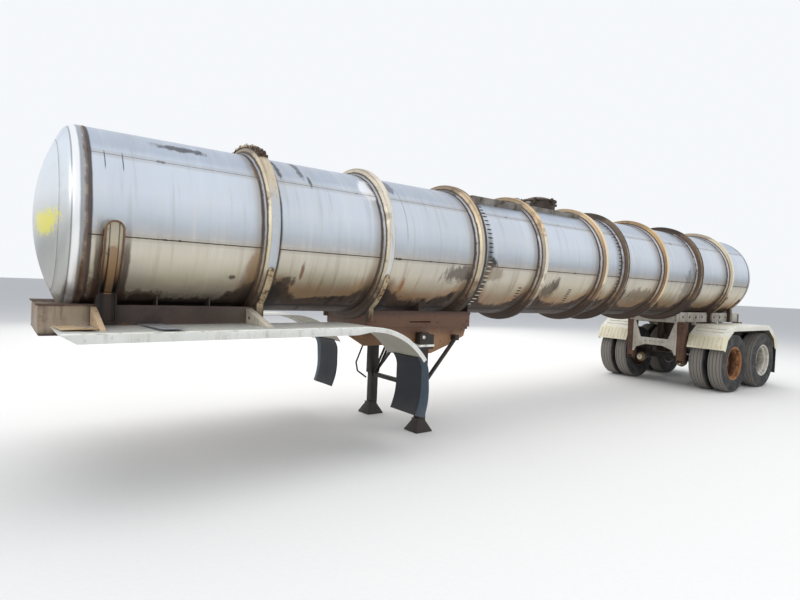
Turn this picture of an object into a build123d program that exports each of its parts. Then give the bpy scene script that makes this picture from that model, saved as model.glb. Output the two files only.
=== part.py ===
# A tank semi-trailer parked on its landing legs: one long stainless barrel with ring stiffeners,
# a kingpin frame under its front end, and a tandem of twin wheels under its tail.
# Millimetres and degrees. The body is drawn along its own axis: x forward from the front head seam,
# y to the left, z up from the ground below that seam. A station s is a distance behind the seam.
# At the end the body is tilted nose up and its middle is moved over the origin.
import os
from math import acos, cos, degrees, radians, sin, sqrt, tan

from build123d import *

os.makedirs("parts", exist_ok=True)

# Stance
nose_up = 0.366
seat_gap = 0.3

# Tank
tank_radius = 787.4
barrel_length = 11740
tank_bottom = 1400.4
tank_axis = tank_bottom + tank_radius
head_flange = 45
crown_radius = 1575
knuckle_radius = 115

# Ring stiffeners: hat sections, each placed by its rear edge
ring_height = 89
ring_slope_run = 38
ring_table = (
    # station of the rear edge, base width
    (1551, 160),
    (2844, 140),
    (4205, 150),
    (5357, 140),
    (6731, 140),
    (7295, 130),
    (8468, 140),
    (barrel_length - 2065, 165),
    (barrel_length - 840, 140),
)

# Front frame, bolster and coupler
bolster_nose = 295
bolster_half_width = 450
bolster_depth = 395
coupler_height = 1212
coupler_thickness = 12
rail_outer = 500
rail_top = 1461
rail_wall = 8
rail_flange = 75
front_rail_end = 1475
cross_plate_thickness = 10
cross_plate_top = 1545
kingpin_setback = 914
kingpin_flange_radius = 92
kingpin_flange_thickness = 10
kingpin_neck_length = 33
kingpin_waist_radius = 25.4
kingpin_waist_length = 35
kingpin_collar_radius = 35.7
kingpin_collar_length = 16
kingpin_collar_chamfer = 4

# Front fenders
fender_outer = 1220
fender_front = -215
fender_height = 1290
fender_rise = 0.65
fender_flat_end = 2335
fender_curve_radius = 839
fender_curve_angle = 54
fender_sheet = 4
fender_lip = 68
fender_lip_rear = 44

# Front mud flaps
flap_inner = 660
flap_thickness = 8
flap_lap_angle = 1.5
flap_curve_radius = 200
flap_drop = 150
flap_hem_radius = 750
flap_hem_angle = 25

# Landing gear
leg_station = 3515
leg_width = 115
inner_leg_width = 100
leg_top = 1190
leg_split = 560
shoe_height = 150
shoe_width = 238
shoe_neck = 118
skirt_outer = 448
skirt_rail_outer = 456
skirt_top = 1437
subframe_front = 2768
shaft_height = 1090
shaft_radius = 17

# Running gear
tyre_radius = 525
tyre_width = 279
bead_radius = 285.75
rim_half_width = 104.8
dual_spacing = 335
outer_tyre_face = 1220
axle_stations = {"front": barrel_length - 1470, "rear": barrel_length - 225}
axle_tube_radius = 63.5
spindle_radius = 45
spindle_clearance = 0.08
disc_thickness = 12
pilot_radius = 110
stud_circle_radius = 142.9
drum_radius = 228
drum_wall = 22

# Rear frame and suspension
rear_rail_outer = 450
rear_rail_depth = 185
rear_rail_top = 1471
rear_rail_start = barrel_length - 2140
rear_rail_end = barrel_length + 405
rear_seam_saddle = barrel_length - 45
hanger_spread = 570
hanger_inner = 430
hanger_outer = 555
hanger_half = 90
hanger_plate = 12
middle_plate_bottom = 960
spring_width = 76
spring_centre = 492
spring_camber = 185
leaf_thickness = 13
leaf_count = 3
radius_rod_y = 520
foot_pin_radius = 16
equalizer_pin_radius = 20
brake_chamber_y = 400
brake_chamber_radius = 78

# Rear fenders, in level coordinates: station, height of the top surface
rear_fender_line = (
    (barrel_length - 2040, 785),
    (barrel_length - 1948, 1020),
    (barrel_length - 1672, 1203),
    (barrel_length - 80, 1200),
    (barrel_length + 228, 990),
    (barrel_length + 320, 760),
)
rear_fender_inner = 600
rear_fender_outer = 1245
rear_fender_lip = 88

# Bumper at the very back
bumper_back = barrel_length + 500
bumper_size = 100
bumper_height = 510
bumper_half_width = 1120
light_bar_height = 850

# Rear outlet
outlet_station = barrel_length - 440
outlet_height = 1190
outlet_pipe_radius = 54
outlet_bore_radius = 50.8
outlet_end = barrel_length + 280
outlet_bolt_circle = 149.2
outlet_bolt_count = 8
outlet_bolt_hole = 12.7

# Manway and spill dam on top
manway_station = 6080
manway_radius = 254
collar_wall = 10
collar_height = 128
collar_flange = 24
lid_thickness = 10
lid_dome = 62
hinge_reach = manway_radius + 52
hinge_pin_radius = 8
hinge_pin_clearance = 0.06
kerb_table = (
    # front station, rear station, half width, height of the kerb, thickness
    (4250, 5180, 478, 97, 5),
    (5400, 6560, 405, 66, 5),
)

# Ladder on the right side, beside the manway
ladder_station = 5880
ladder_width = 300
ladder_y = tank_radius + 138
ladder_foot = 1460
rung_spacing = 300

tilt = radians(nose_up)
head_depth = head_flange + crown_radius - sqrt(
    (crown_radius - knuckle_radius) ** 2 - (tank_radius - knuckle_radius) ** 2
)
front_seam_x = (bumper_back - head_depth) / 2
coupler_top = coupler_height + coupler_thickness
ring_outer = tank_radius + ring_height
ring_middles = [rear - width / 2 for rear, width in ring_table]

nodes = {}


# Helpers


def level(station, height):
    """A point given on level ground, as station and height on the tilted body."""
    down = tank_axis - height
    return (
        station * cos(tilt) + down * sin(tilt),
        tank_axis + station * sin(tilt) - down * cos(tilt),
    )


def on_ground(point):
    """A point of the body, where it lies once the body stands on level ground."""
    x, y, z = point
    rise = z - tank_axis
    return (
        front_seam_x + x * cos(tilt) - rise * sin(tilt),
        y,
        tank_axis + x * sin(tilt) + rise * cos(tilt),
    )


def stand(shape):
    return Pos(front_seam_x, 0, tank_axis) * Rot(0, -nose_up, 0) * Pos(0, 0, -tank_axis) * shape


def block(s0, s1, y0, y1, z0, z1):
    box = Box(abs(s1 - s0), abs(y1 - y0), abs(z1 - z0))
    return Pos(-(s0 + s1) / 2, (y0 + y1) / 2, (z0 + z1) / 2) * box


def side_plate(outline, y0, y1):
    """A plate whose outline is given as station and height."""
    plane = Plane(origin=(0, y1, 0), x_dir=(1, 0, 0), z_dir=(0, -1, 0))
    face = plane * Polygon(*[(-s, z) for s, z in outline], align=None)
    return extrude(face, y1 - y0, dir=(0, -1, 0))


def cross_plate(outline, s0, s1):
    """A plate across the body, whose outline is given as y and height."""
    plane = Plane(origin=(-s1, 0, 0), x_dir=(0, 1, 0), z_dir=(1, 0, 0))
    return extrude(plane * Polygon(*outline, align=None), s1 - s0, dir=(1, 0, 0))


def crossways(station, height, radius, y0, y1):
    """A cylinder along y."""
    return Pos(-station, (y0 + y1) / 2, height) * Rot(90, 0, 0) * Cylinder(radius, y1 - y0)


def lengthways(s0, s1, y, z, radius):
    """A cylinder along x."""
    return Pos(-(s0 + s1) / 2, y, z) * Rot(0, 90, 0) * Cylinder(radius, s1 - s0)


def upright(station, y, z0, z1, radius):
    return Pos(-station, y, (z0 + z1) / 2) * Cylinder(radius, z1 - z0)


def beam(start, end, width, thickness, flat=(0, 1, 0)):
    """A straight bar between two points given as station, y, z, its width along flat."""
    a = Vector(-start[0], start[1], start[2])
    b = Vector(-end[0], end[1], end[2])
    section = Plane(origin=a, x_dir=flat, z_dir=b - a) * Rectangle(width, thickness)
    return extrude(section, (b - a).length, dir=(b - a).normalized())


def rod(points, radius, bend):
    """A bent round rod through points given as station, y, z."""
    corners = [(-s, y, z) for s, y, z in points]
    path = FilletPolyline(*corners, radius=bend)
    start = Plane(origin=path @ 0, z_dir=path % 0)
    return sweep(start * Circle(radius), path=path)


def shell(s0, s1, radius):
    """A full cylinder about the tank's axis, for cutting seats."""
    return lengthways(s0, s1, 0, tank_axis, radius)


def around_tank(profile, start=0, sweep_angle=360):
    """Turns a profile of x and radius about the tank's axis. 0 points left, -90 straight down."""
    face = Rot(start, 0, 0) * profile
    return Pos(0, 0, tank_axis) * revolve(face, Axis.X, sweep_angle)


def band(s0, s1, inner, outer, low, high):
    """A strip of a shell about the tank, between two angles on the left side."""
    profile = Pos(-(s0 + s1) / 2, (inner + outer) / 2) * Rectangle(s1 - s0, outer - inner)
    return around_tank(profile, low, high - low)


def arch(s0, s1, top, bottom=900):
    """A tall side-view outline with a round top, as deep as the left half of the body."""
    width = s1 - s0
    middle = -(s0 + s1) / 2
    outline = Pos(middle, (bottom + top - width / 2) / 2) * Rectangle(width, top - width / 2 - bottom)
    outline += Pos(middle, top - width / 2) * Circle(width / 2)
    plane = Plane(origin=(0, 1500, 0), x_dir=(1, 0, 0), z_dir=(0, -1, 0))
    return extrude(plane * outline, 1500, dir=(0, -1, 0))


def low_angle(radius, y):
    """The angle below level at which a shell of that radius passes y."""
    return -degrees(acos(y / radius))


def fender_top(station):
    """Height of the front fender's top surface."""
    return fender_height + station * tan(radians(fender_rise))


def mirrored(shape):
    return mirror(shape, about=Plane.XZ)


def both_sides(*shapes):
    return [*shapes, *[mirrored(shape) for shape in shapes]]


def keep(name, *shapes):
    """Stores a node. Shapes in one node don't touch, or are already fused."""
    nodes[name] = Compound([stand(solid) for shape in shapes for solid in shape.solids()])


# Tank


def head_profile():
    """Half the section of a flanged and dished head, outward along x."""
    knuckle_centre = tank_radius - knuckle_radius
    reach = crown_radius - knuckle_radius
    crown_centre = head_flange - sqrt(reach**2 - knuckle_centre**2)
    turn = Vector(head_flange - crown_centre, knuckle_centre).normalized()
    joint = Vector(crown_centre, 0) + turn * crown_radius
    half_turn = (turn + Vector(0, 1)).normalized()
    knuckle_middle = Vector(head_flange, knuckle_centre) + half_turn * knuckle_radius
    crown_middle = Vector(crown_centre, 0) + (turn + Vector(1, 0)).normalized() * crown_radius
    apex = Vector(crown_centre + crown_radius, 0)
    return make_face(
        [
            Line((0, 0), (0, tank_radius)),
            Line((0, tank_radius), (head_flange, tank_radius)),
            ThreePointArc((head_flange, tank_radius), knuckle_middle, joint),
            ThreePointArc(joint, crown_middle, apex),
            Line(apex, (0, 0)),
        ]
    )


def ring(rear, width):
    top = tank_radius + ring_height
    base = tank_radius + seat_gap
    profile = Polygon(
        (-rear, base),
        (-rear + ring_slope_run, top),
        (-rear + width - ring_slope_run, top),
        (-rear + width, base),
        align=None,
    )
    return around_tank(profile)


head = around_tank(head_profile())
keep("tank_barrel", shell(0, barrel_length, tank_radius))
keep("front_head", head)
keep("rear_head", Pos(-barrel_length, 0, 0) * mirror(head, about=Plane.YZ))
keep("ring_stiffeners", *[ring(*row) for row in ring_table])

# Everything that cradles the tank is cut to this envelope
tank_seat = shell(-400, barrel_length + 400, tank_radius + seat_gap)
for rear, width in ring_table:
    tank_seat += shell(rear - width - 1, rear + 1, ring_outer + seat_gap)


def saddle_plate(station, half_width, bottom, top, thickness=cross_plate_thickness):
    """An upright plate across the body, hollowed to carry the tank."""
    plate = block(station, station + thickness, -half_width, half_width, bottom, top)
    return plate - tank_seat


# Front frame


def channel(s0, s1, outer, bottom, top, wall, flange):
    """A rail on the left side, its web outside and its flanges pointing in."""
    rail = block(s0, s1, outer - wall, outer, bottom, top)
    rail += block(s0, s1, outer - flange, outer, top - wall, top)
    rail += block(s0, s1, outer - flange, outer, bottom, bottom + wall)
    return rail


bolster_rear = bolster_depth - bolster_nose
bolster_lip = bolster_half_width + 20
bolster = block(-bolster_nose, bolster_rear, -bolster_half_width, bolster_half_width, coupler_top, rail_top)
bolster += block(-bolster_nose - 16, bolster_rear, -bolster_lip, bolster_lip, rail_top - 12, rail_top)
keep("front_bolster", bolster - tank_seat)

front_rail = channel(bolster_rear, front_rail_end, rail_outer, coupler_top, rail_top, rail_wall, rail_flange)
front_frame = front_rail + mirrored(front_rail)
for station in (bolster_rear, 560, 1010, front_rail_end - cross_plate_thickness):
    front_frame += saddle_plate(station, rail_outer - rail_wall, coupler_top, cross_plate_top)
keep("front_frame", front_frame - tank_seat)

coupler = block(-bolster_nose, front_rail_end, -rail_outer, rail_outer, coupler_height, coupler_top)
coupler = chamfer(coupler.edges().filter_by(Axis.Y).group_by(Axis.X)[-1].sort_by(Axis.Z)[0], 8)
kingpin_station = kingpin_setback - bolster_nose
flange_seat = kingpin_flange_radius + seat_gap
coupler -= upright(kingpin_station, 0, coupler_height - 1, coupler_top + 1, flange_seat)
keep("coupler_plate", coupler)


def kingpin():
    """A round flange set flush in the coupler plate, then neck, waist where the jaws close, collar."""
    steps = (
        # radius, length
        (kingpin_flange_radius, kingpin_flange_thickness),
        (36.5, kingpin_neck_length),
        (kingpin_waist_radius, kingpin_waist_length),
        (kingpin_collar_radius, kingpin_collar_length),
    )
    height = coupler_height + kingpin_flange_thickness
    pin = None
    for radius, length in steps:
        step = upright(kingpin_station, 0, height - length, height, radius)
        pin = step if pin is None else pin + step
        height -= length
    return chamfer(pin.faces().sort_by(Axis.Z)[0].edges(), kingpin_collar_chamfer)


keep("kingpin", kingpin())


def front_saddle(s0, s1, top_angle_height, wall=12, rise=45):
    """A pressed channel that wraps up the tank's side from the rail and ends in a round arch."""
    inner = tank_radius + seat_gap
    low = low_angle(inner, rail_outer - 5)
    outer_skin = band(s0, s1, inner, tank_radius + rise, low, 4)
    outer_skin += block(s0, s1, rail_outer + seat_gap, rail_outer + rise, coupler_top + 90, 1590)
    outer_skin &= arch(s0, s1, top_angle_height)
    hollow = band(s0 + wall, s1 - wall, tank_radius + 9, tank_radius + rise + 30, low, 4)
    hollow += block(s0 + wall, s1 - wall, rail_outer + 9, rail_outer + rise + 30, coupler_top + 102, 1575)
    hollow &= arch(s0 + wall, s1 - wall, top_angle_height - wall)
    pad = band(s0 + 38, s1 - 38, tank_radius + 8, tank_radius + 24, low, -10)
    pad &= arch(s0 + 38, s1 - 38, 1932)
    return outer_skin - hollow + pad - shell(s0 - 1, s1 + 1, inner)


def saddle_strap(middle, under, width, top_height, foot, foot_inner):
    """A doubler on a ring or on the shell, round at its top, that runs down beside the frame."""
    s0 = middle - width / 2
    s1 = middle + width / 2
    inner = under + seat_gap
    strap = band(s0, s1, inner, under + 14, low_angle(inner, foot_inner + 2), 0)
    strap &= arch(s0, s1, top_height)
    foot_block = block(s0, s1, foot_inner + seat_gap, foot_inner + 60, foot, 1560)
    return strap + (foot_block - shell(s0 - 1, s1 + 1, inner))


saddle = front_saddle(104, 244, 2135)
keep("front_saddles", *both_sides(saddle))

rear_rail_bottom = rear_rail_top - rear_rail_depth
strap_rows = (
    # station, radius it lies on, width, height of the round top, lowest point, inner face of the foot
    (ring_middles[0], ring_outer, 78, 1838, fender_top(front_rail_end) + 8, rail_outer),
    (ring_middles[1], ring_outer, 62, 1838, skirt_top - 120, skirt_rail_outer),
    (ring_middles[8], ring_outer, 72, 1800, rear_rail_bottom, rear_rail_outer),
    (rear_seam_saddle, tank_radius, 90, 1760, rear_rail_bottom, rear_rail_outer),
)
keep("saddle_straps", *[solid for row in strap_rows for solid in both_sides(saddle_strap(*row))])


# Front fenders


def fender_outline(depth_flat, depth_curve, front):
    """Side view of the fender's sheet or lip: flat, then curved down behind."""
    top = fender_height
    centre = top - fender_curve_radius

    def on_curve(angle, radius):
        return (-fender_flat_end - radius * sin(radians(angle)), centre + radius * cos(radians(angle)))

    inner = fender_curve_radius - depth_curve
    half = fender_curve_angle / 2
    start = (-fender_front, top)
    tip_outer = on_curve(fender_curve_angle, fender_curve_radius)
    tip_inner = on_curve(fender_curve_angle, inner)
    lines = [
        Line(start, (-fender_flat_end, top)),
        ThreePointArc((-fender_flat_end, top), on_curve(half, fender_curve_radius), tip_outer),
        Line(tip_outer, tip_inner),
        ThreePointArc(tip_inner, on_curve(half, inner), (-fender_flat_end, top - depth_curve)),
    ]
    if depth_flat == depth_curve:
        lines.append(Line((-fender_flat_end, top - depth_curve), (-front, top - depth_flat)))
    else:
        knee = (-fender_flat_end + 160, top - depth_flat)
        lines.append(Line((-fender_flat_end, top - depth_curve), knee))
        lines.append(Line(knee, (-front, top - depth_flat)))
    lines.append(Line((-front, top - depth_flat), start))
    return make_face(lines)


def fender_place(face, y0, y1):
    """Stands a side-view face up between two values of y, with the fender's own rise."""
    plane = Plane(origin=(0, y1, 0), x_dir=(1, 0, 0), z_dir=(0, -1, 0))
    solid = extrude(plane * face, y1 - y0, dir=(0, -1, 0))
    return Pos(0, 0, fender_height) * Rot(0, fender_rise, 0) * Pos(0, 0, -fender_height) * solid


fender_inner = rail_outer + 20
fender_skin = fender_outline(fender_sheet, fender_sheet, fender_front)
fender_edge = fender_outline(fender_lip, fender_lip_rear, fender_front + 110)
front_fender = fender_place(fender_skin, fender_inner, fender_outer)
front_fender += fender_place(fender_edge, fender_outer - fender_sheet, fender_outer)
keep("front_fender_left", front_fender)
keep("front_fender_right", mirrored(front_fender))


def fender_bracket(s0, s1, reach=1000, sheet=5):
    """A folded arm open below, deep at the rail and tapering out over the fender."""
    bottom = fender_top(s1) + seat_gap
    inner = rail_outer + seat_gap
    top = rail_top - 15
    outline = ((inner, top), (inner, bottom), (reach, bottom), (reach, bottom + 14))
    tip = reach - 60
    hollow = ((inner - 1, top - sheet), (inner - 1, bottom - 1), (tip, bottom - 1), (tip, bottom + 12))
    arm = cross_plate(outline, s0, s1) - cross_plate(hollow, s0 + sheet, s1 - sheet)
    return arm - lengthways(s0 - 1, s1 + 1, inner + 75, bottom + 55, 20)


keep("front_fender_brackets", *both_sides(fender_bracket(60, 102), fender_bracket(1360, 1425)))


def front_flap():
    """A rubber sheet that leaves the fender's tip, hangs down and curls forward to its hem."""
    slope = radians(fender_curve_angle)
    reach = fender_curve_radius - fender_sheet - seat_gap - flap_thickness / 2
    centre_z = fender_height - fender_curve_radius

    def on_curve(angle):
        return (-fender_flat_end - reach * sin(angle), centre_z + reach * cos(angle))

    lap = radians(flap_lap_angle)
    tip = on_curve(slope)
    turn = radians(90) - slope
    along = Vector(-cos(slope), -sin(slope))
    run = 12
    knee = Vector(*tip) + along * run
    bend = Vector(
        knee.X - flap_curve_radius * (1 - cos(turn)), knee.Y - flap_curve_radius * sin(turn)
    )
    bend_middle = Vector(
        knee.X + flap_curve_radius * (cos(turn) - cos(turn / 2)),
        knee.Y - flap_curve_radius * (sin(turn) - sin(turn / 2)),
    )
    low = bend - Vector(0, flap_drop)
    hem = radians(flap_hem_angle)

    def on_hem(angle):
        return low + Vector(flap_hem_radius * (1 - cos(angle)), -flap_hem_radius * sin(angle))

    path = Wire(
        [
            ThreePointArc(on_curve(slope - lap), on_curve(slope - lap / 2), tip),
            Line(tip, knee),
            ThreePointArc(knee, bend_middle, bend),
            Line(bend, low),
            ThreePointArc(low, on_hem(hem / 2), on_hem(hem)),
        ]
    )
    plane = Plane(origin=(0, 0, 0), x_dir=(1, 0, 0), z_dir=(0, -1, 0))
    path = plane * path
    middle = (flap_inner + fender_outer - 2 * fender_sheet) / 2
    width = fender_outer - 2 * fender_sheet - flap_inner
    start = Plane(origin=path @ 0, x_dir=(0, 1, 0), z_dir=path % 0)
    sheet = Pos(0, middle, 0) * sweep(start * Rectangle(width, flap_thickness), path=path)
    return Pos(0, 0, fender_height) * Rot(0, fender_rise, 0) * Pos(0, 0, -fender_height) * sheet


keep("front_mud_flaps", *both_sides(front_flap()))

# Landing gear and the subframe it hangs from


def skirt():
    """The side plate of the landing gear's subframe."""
    outline = [
        level(subframe_front, 1395),
        level(4347, 1393),
        level(4301, 1320),
        level(4231, 1101),
        level(3994, 999),
        level(3705, 903),
        level(3300, 903),
        level(2985, 1090),
    ]
    plate = side_plate(outline, skirt_outer - rail_wall, skirt_outer)
    rail_bottom = skirt_top - 190
    rail = channel(subframe_front, 4325, skirt_rail_outer, rail_bottom, skirt_top, rail_wall, rail_flange)
    slot = block(3363, 3684, 0, 600, skirt_top - 137, skirt_top - 120)
    shaft_hole = crossways(leg_station, shaft_height, shaft_radius + 3, 400, 500)
    return plate + rail - slot - shaft_hole


side = skirt()
subframe = side + mirrored(side)
subframe_plates = (subframe_front, 3500, ring_middles[2] - cross_plate_thickness / 2, 4295)
for station in subframe_plates:
    subframe += saddle_plate(station, skirt_outer - rail_wall, 1215, cross_plate_top)
keep("landing_subframe", subframe - tank_seat)

leg_inner_face = skirt_rail_outer + seat_gap
leg_outer_face = leg_inner_face + leg_width
leg_y = (leg_inner_face + leg_outer_face) / 2
half_leg = leg_width / 2
half_inner = inner_leg_width / 2
shoe_station, shoe_top = level(leg_station, shoe_height + seat_gap + half_inner * tan(tilt))
leg = Pos(-leg_station, leg_y, (leg_split + leg_top) / 2) * Box(leg_width, leg_width, leg_top - leg_split)
leg += Pos(-shoe_station, leg_y, (shoe_top + leg_split) / 2) * Box(
    inner_leg_width, inner_leg_width, leg_split - shoe_top
)
gearbox_face = leg_outer_face + 34
gearbox = block(leg_station - 105, leg_station + 105, leg_outer_face - 1, gearbox_face, 1000, 1175)
gearbox = fillet(gearbox.edges().filter_by(Axis.Y), 18)
leg += gearbox
keep("landing_legs", *both_sides(leg))


def sand_shoe():
    """A flared foot with a flat sole, level on the ground."""
    steps = (
        # half size, height
        (shoe_width / 2, 0),
        (shoe_width / 2, 12),
        (shoe_neck / 2, shoe_height - 25),
        (shoe_neck / 2, shoe_height),
    )
    shoe = None
    for (low_half, low), (high_half, high) in zip(steps, steps[1:]):
        lower = Pos(0, 0, low) * Rectangle(2 * low_half, 2 * low_half)
        upper = Pos(0, 0, high) * Rectangle(2 * high_half, 2 * high_half)
        step = loft([lower, upper])
        shoe = step if shoe is None else shoe + step
    return shoe


def level_place(shape, station, y):
    """Puts a shape drawn on level ground under the body, which is tilted later as a whole."""
    s, z = level(station, 0)
    return Pos(-s, y, z) * Rot(0, nose_up, 0) * shape


shoe = level_place(sand_shoe(), leg_station - tank_axis * sin(tilt), leg_y)
keep("landing_feet", *both_sides(shoe))

brace_height = 520
leg_back = leg_station + half_leg
brace_reach = leg_inner_face - seat_gap
cross_tube = block(
    leg_station - 25, leg_station + 25, -brace_reach, brace_reach, brace_height, brace_height + 50
)
knee_braces = []
for offset in (-24, 24):
    bar = beam(
        (leg_station + offset, leg_inner_face - 24, brace_height + 52),
        (leg_station + offset, 60, 1170),
        12,
        34,
        flat=(1, 0, 0),
    )
    knee_braces.append(bar)
brace = cross_tube
for bar in knee_braces:
    brace += bar + mirrored(bar)
brace += block(leg_station - 40, leg_station + 40, -90, 90, 1140, 1214)
keep("leg_cross_braces", brace)

stay = beam((leg_back + 22, leg_y, 600), (4052, leg_y, 1120), 44, 30)
stay += block(leg_back + seat_gap, leg_back + 40, leg_y - 30, leg_y + 30, 560, 640)
stay += block(4025, 4085, skirt_outer + seat_gap, leg_y + 22, 1085, 1150)
keep("leg_stays", *both_sides(stay))

crank_y = -gearbox_face
crank = crossways(leg_station, shaft_height, 16, crank_y - 60, crank_y - seat_gap)
crank += rod(
    [
        (leg_station, crank_y - 50, shaft_height + 10),
        (leg_station - 20, crank_y - 50, shaft_height - 50),
        (leg_station - 167, crank_y - 55, 680),
        (leg_station - 140, crank_y - 55, 565),
        (leg_station - 15, crank_y - 30, 474),
    ],
    11,
    22,
)
keep("landing_crank", crank)
keep("landing_cross_shaft", crossways(leg_station, shaft_height, shaft_radius, -brace_reach, brace_reach))

# Rear frame and suspension

rear_rail = channel(
    rear_rail_start, rear_rail_end, rear_rail_outer, rear_rail_bottom, rear_rail_top, rail_wall, rail_flange
)
for index in range(8):
    hole_station = rear_rail_start + 240 + index * 250
    rear_rail -= crossways(hole_station, rear_rail_top - rear_rail_depth / 2, 26, 400, 500)
rear_frame = rear_rail + mirrored(rear_rail)
rear_saddles = (
    # station, height of the plate's shoulders
    (rear_rail_start + 30, cross_plate_top + 25),
    (ring_middles[8] - cross_plate_thickness / 2, cross_plate_top + 25),
    (rear_seam_saddle - cross_plate_thickness / 2, cross_plate_top + 25),
    (rear_rail_end - cross_plate_thickness, rear_rail_top),
)
for station, shoulder in rear_saddles:
    rear_frame += saddle_plate(station, rear_rail_outer - rail_wall, rear_rail_bottom, shoulder)
keep("rear_frame", rear_frame - tank_seat)

rail_underside = rear_rail_bottom - seat_gap
axle_points = {name: level(station, tyre_radius) for name, station in axle_stations.items()}
tandem_middle = sum(s for s, _ in axle_points.values()) / 2
hanger_reach = (axle_points["rear"][0] - axle_points["front"][0]) / 2 + hanger_spread - 45
front_hanger = tandem_middle - hanger_reach
rear_hanger = tandem_middle + hanger_reach
axle_line = sum(z for _, z in axle_points.values()) / 2
seat_thickness = 34
half_leaf = hanger_spread - 24
spring_tip = axle_line + spring_camber
foot_pin = axle_line - 55
equalizer_pin = spring_tip + 62
plate_gap = (hanger_inner + hanger_plate + seat_gap, hanger_outer - hanger_plate - seat_gap)


# The middle crossmember closes the bay between the equalizer hangers
inner_edge = hanger_inner - seat_gap
flange_edge = rear_rail_outer - rail_flange - seat_gap
middle_outline = (
    (-flange_edge, cross_plate_top),
    (-flange_edge, rail_underside),
    (-inner_edge, rail_underside),
    (-inner_edge, middle_plate_bottom),
    (inner_edge, middle_plate_bottom),
    (inner_edge, rail_underside),
    (flange_edge, rail_underside),
    (flange_edge, cross_plate_top),
)
middle_plate = cross_plate(middle_outline, tandem_middle, tandem_middle + cross_plate_thickness)
middle_foot = (-inner_edge, inner_edge, middle_plate_bottom, middle_plate_bottom + rail_wall)
middle_plate += block(tandem_middle, tandem_middle + 60, *middle_foot)
keep("middle_crossmember", middle_plate - tank_seat)


def hanger(station, foot, wall=0):
    """Two tapered side plates under a cap, closed by a wall ahead (-1) or behind (1) the spring."""
    outline = [
        (station - hanger_half, rail_underside),
        (station + hanger_half, rail_underside),
        (station + 62, foot + 30),
        (station + 40, foot - 30),
        (station - 40, foot - 30),
        (station - 62, foot + 30),
    ]
    body = side_plate(outline, hanger_inner, hanger_inner + hanger_plate)
    body += side_plate(outline, hanger_outer - hanger_plate, hanger_outer)
    ends = (station - hanger_half, station + hanger_half)
    body += block(*ends, hanger_inner, hanger_outer, rail_underside - hanger_plate, rail_underside)
    if wall:
        top = (station + wall * hanger_half, rail_underside)
        low = (station + wall * 62, foot + 30)
        inward = -wall * hanger_plate
        closed = [top, low, (low[0] + inward, low[1]), (top[0] + inward, top[1])]
        body += side_plate(closed, hanger_inner, hanger_outer)
        pad = spring_tip + seat_gap
        body += block(station - 40, station + 40, hanger_inner, hanger_outer, pad, pad + 26)
    return body


def leaf_pack(axle_station, axle_height):
    """Three leaves over the axle seat, each shorter than the one above it, clamped as one."""
    seat_bottom = axle_height + axle_tube_radius + seat_gap
    seat_top = seat_bottom + seat_thickness
    stack = seat_top + leaf_count * leaf_thickness
    side = spring_centre - spring_width / 2
    far_side = side + spring_width + 8
    pack = block(axle_station - 80, axle_station + 80, side - 8, far_side, seat_bottom, seat_top + 3)
    pack += block(axle_station - 75, axle_station + 75, side - 8, far_side, stack, stack + 14)
    for index in range(leaf_count):
        half = half_leaf - index * 95
        top = stack - index * leaf_thickness
        rise = (spring_tip - stack) * (half / half_leaf) ** 2
        ends = [(-half, top + rise), (half, top + rise)]
        low_ends = [(x, z - leaf_thickness) for x, z in ends]
        face = make_face(
            [
                ThreePointArc(ends[0], (0, top), ends[1]),
                Line(ends[1], low_ends[1]),
                ThreePointArc(low_ends[1], (0, top - leaf_thickness), low_ends[0]),
                Line(low_ends[0], ends[0]),
            ]
        )
        plane = Plane(origin=(-axle_station, side + spring_width, 0), x_dir=(1, 0, 0), z_dir=(0, -1, 0))
        pack += extrude(plane * face, spring_width, dir=(0, -1, 0))
    return pack


def equalizer():
    """A rocking beam on the middle hanger's pin that bears on the near ends of both springs."""
    s = tandem_middle
    low = spring_tip + seat_gap
    outline = [(s - 112, low), (s - 70, low), (s - 40, low + 24), (s + 40, low + 24)]
    outline += [(s + 70, low), (s + 112, low), (s + 112, low + 22), (s + 34, low + 98), (s - 34, low + 98)]
    outline += [(s - 112, low + 22)]
    beam_plate = side_plate(outline, spring_centre - spring_width / 2, spring_centre + spring_width / 2)
    boss = crossways(s, equalizer_pin, equalizer_pin_radius + 18, *plate_gap)
    pin_hole = crossways(s, equalizer_pin, equalizer_pin_radius + seat_gap, 400, 600)
    return beam_plate + boss - pin_hole


def radius_rod(pin_station, axle_station, axle_height):
    """A rod from a hanger's foot pin back to a pad on the front of the axle tube."""
    y0, y1 = radius_rod_y - 20, plate_gap[1]
    face = axle_station - axle_tube_radius - seat_gap
    link = beam((pin_station, radius_rod_y, foot_pin), (face - 8, radius_rod_y, axle_height), 24, 30)
    link += crossways(pin_station, foot_pin, foot_pin_radius + 16, y0, y1)
    link += block(face - 14, face, y0, y1, axle_height - 36, axle_height + 36)
    return link - crossways(pin_station, foot_pin, foot_pin_radius + seat_gap, y0 - 50, y1 + 50)


front_axle, rear_axle = axle_points.values()
pinned = hanger(front_hanger, foot_pin, -1) + crossways(
    front_hanger, foot_pin, foot_pin_radius, hanger_inner, hanger_outer
)
middle = hanger(tandem_middle, foot_pin)
middle += crossways(tandem_middle, foot_pin, foot_pin_radius, hanger_inner, hanger_outer)
middle += crossways(tandem_middle, equalizer_pin, equalizer_pin_radius, hanger_inner - 8, hanger_outer + 8)
last = hanger(rear_hanger, axle_line + 90, 1)
keep("spring_hangers", *both_sides(pinned, middle, last))
keep("leaf_springs", *both_sides(leaf_pack(*front_axle), leaf_pack(*rear_axle)))
keep("spring_equalizers", *both_sides(equalizer()))
rods = (radius_rod(front_hanger, *front_axle), radius_rod(tandem_middle, *rear_axle))
keep("radius_rods", *both_sides(*rods))


crossmember_station = front_hanger - 86


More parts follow.
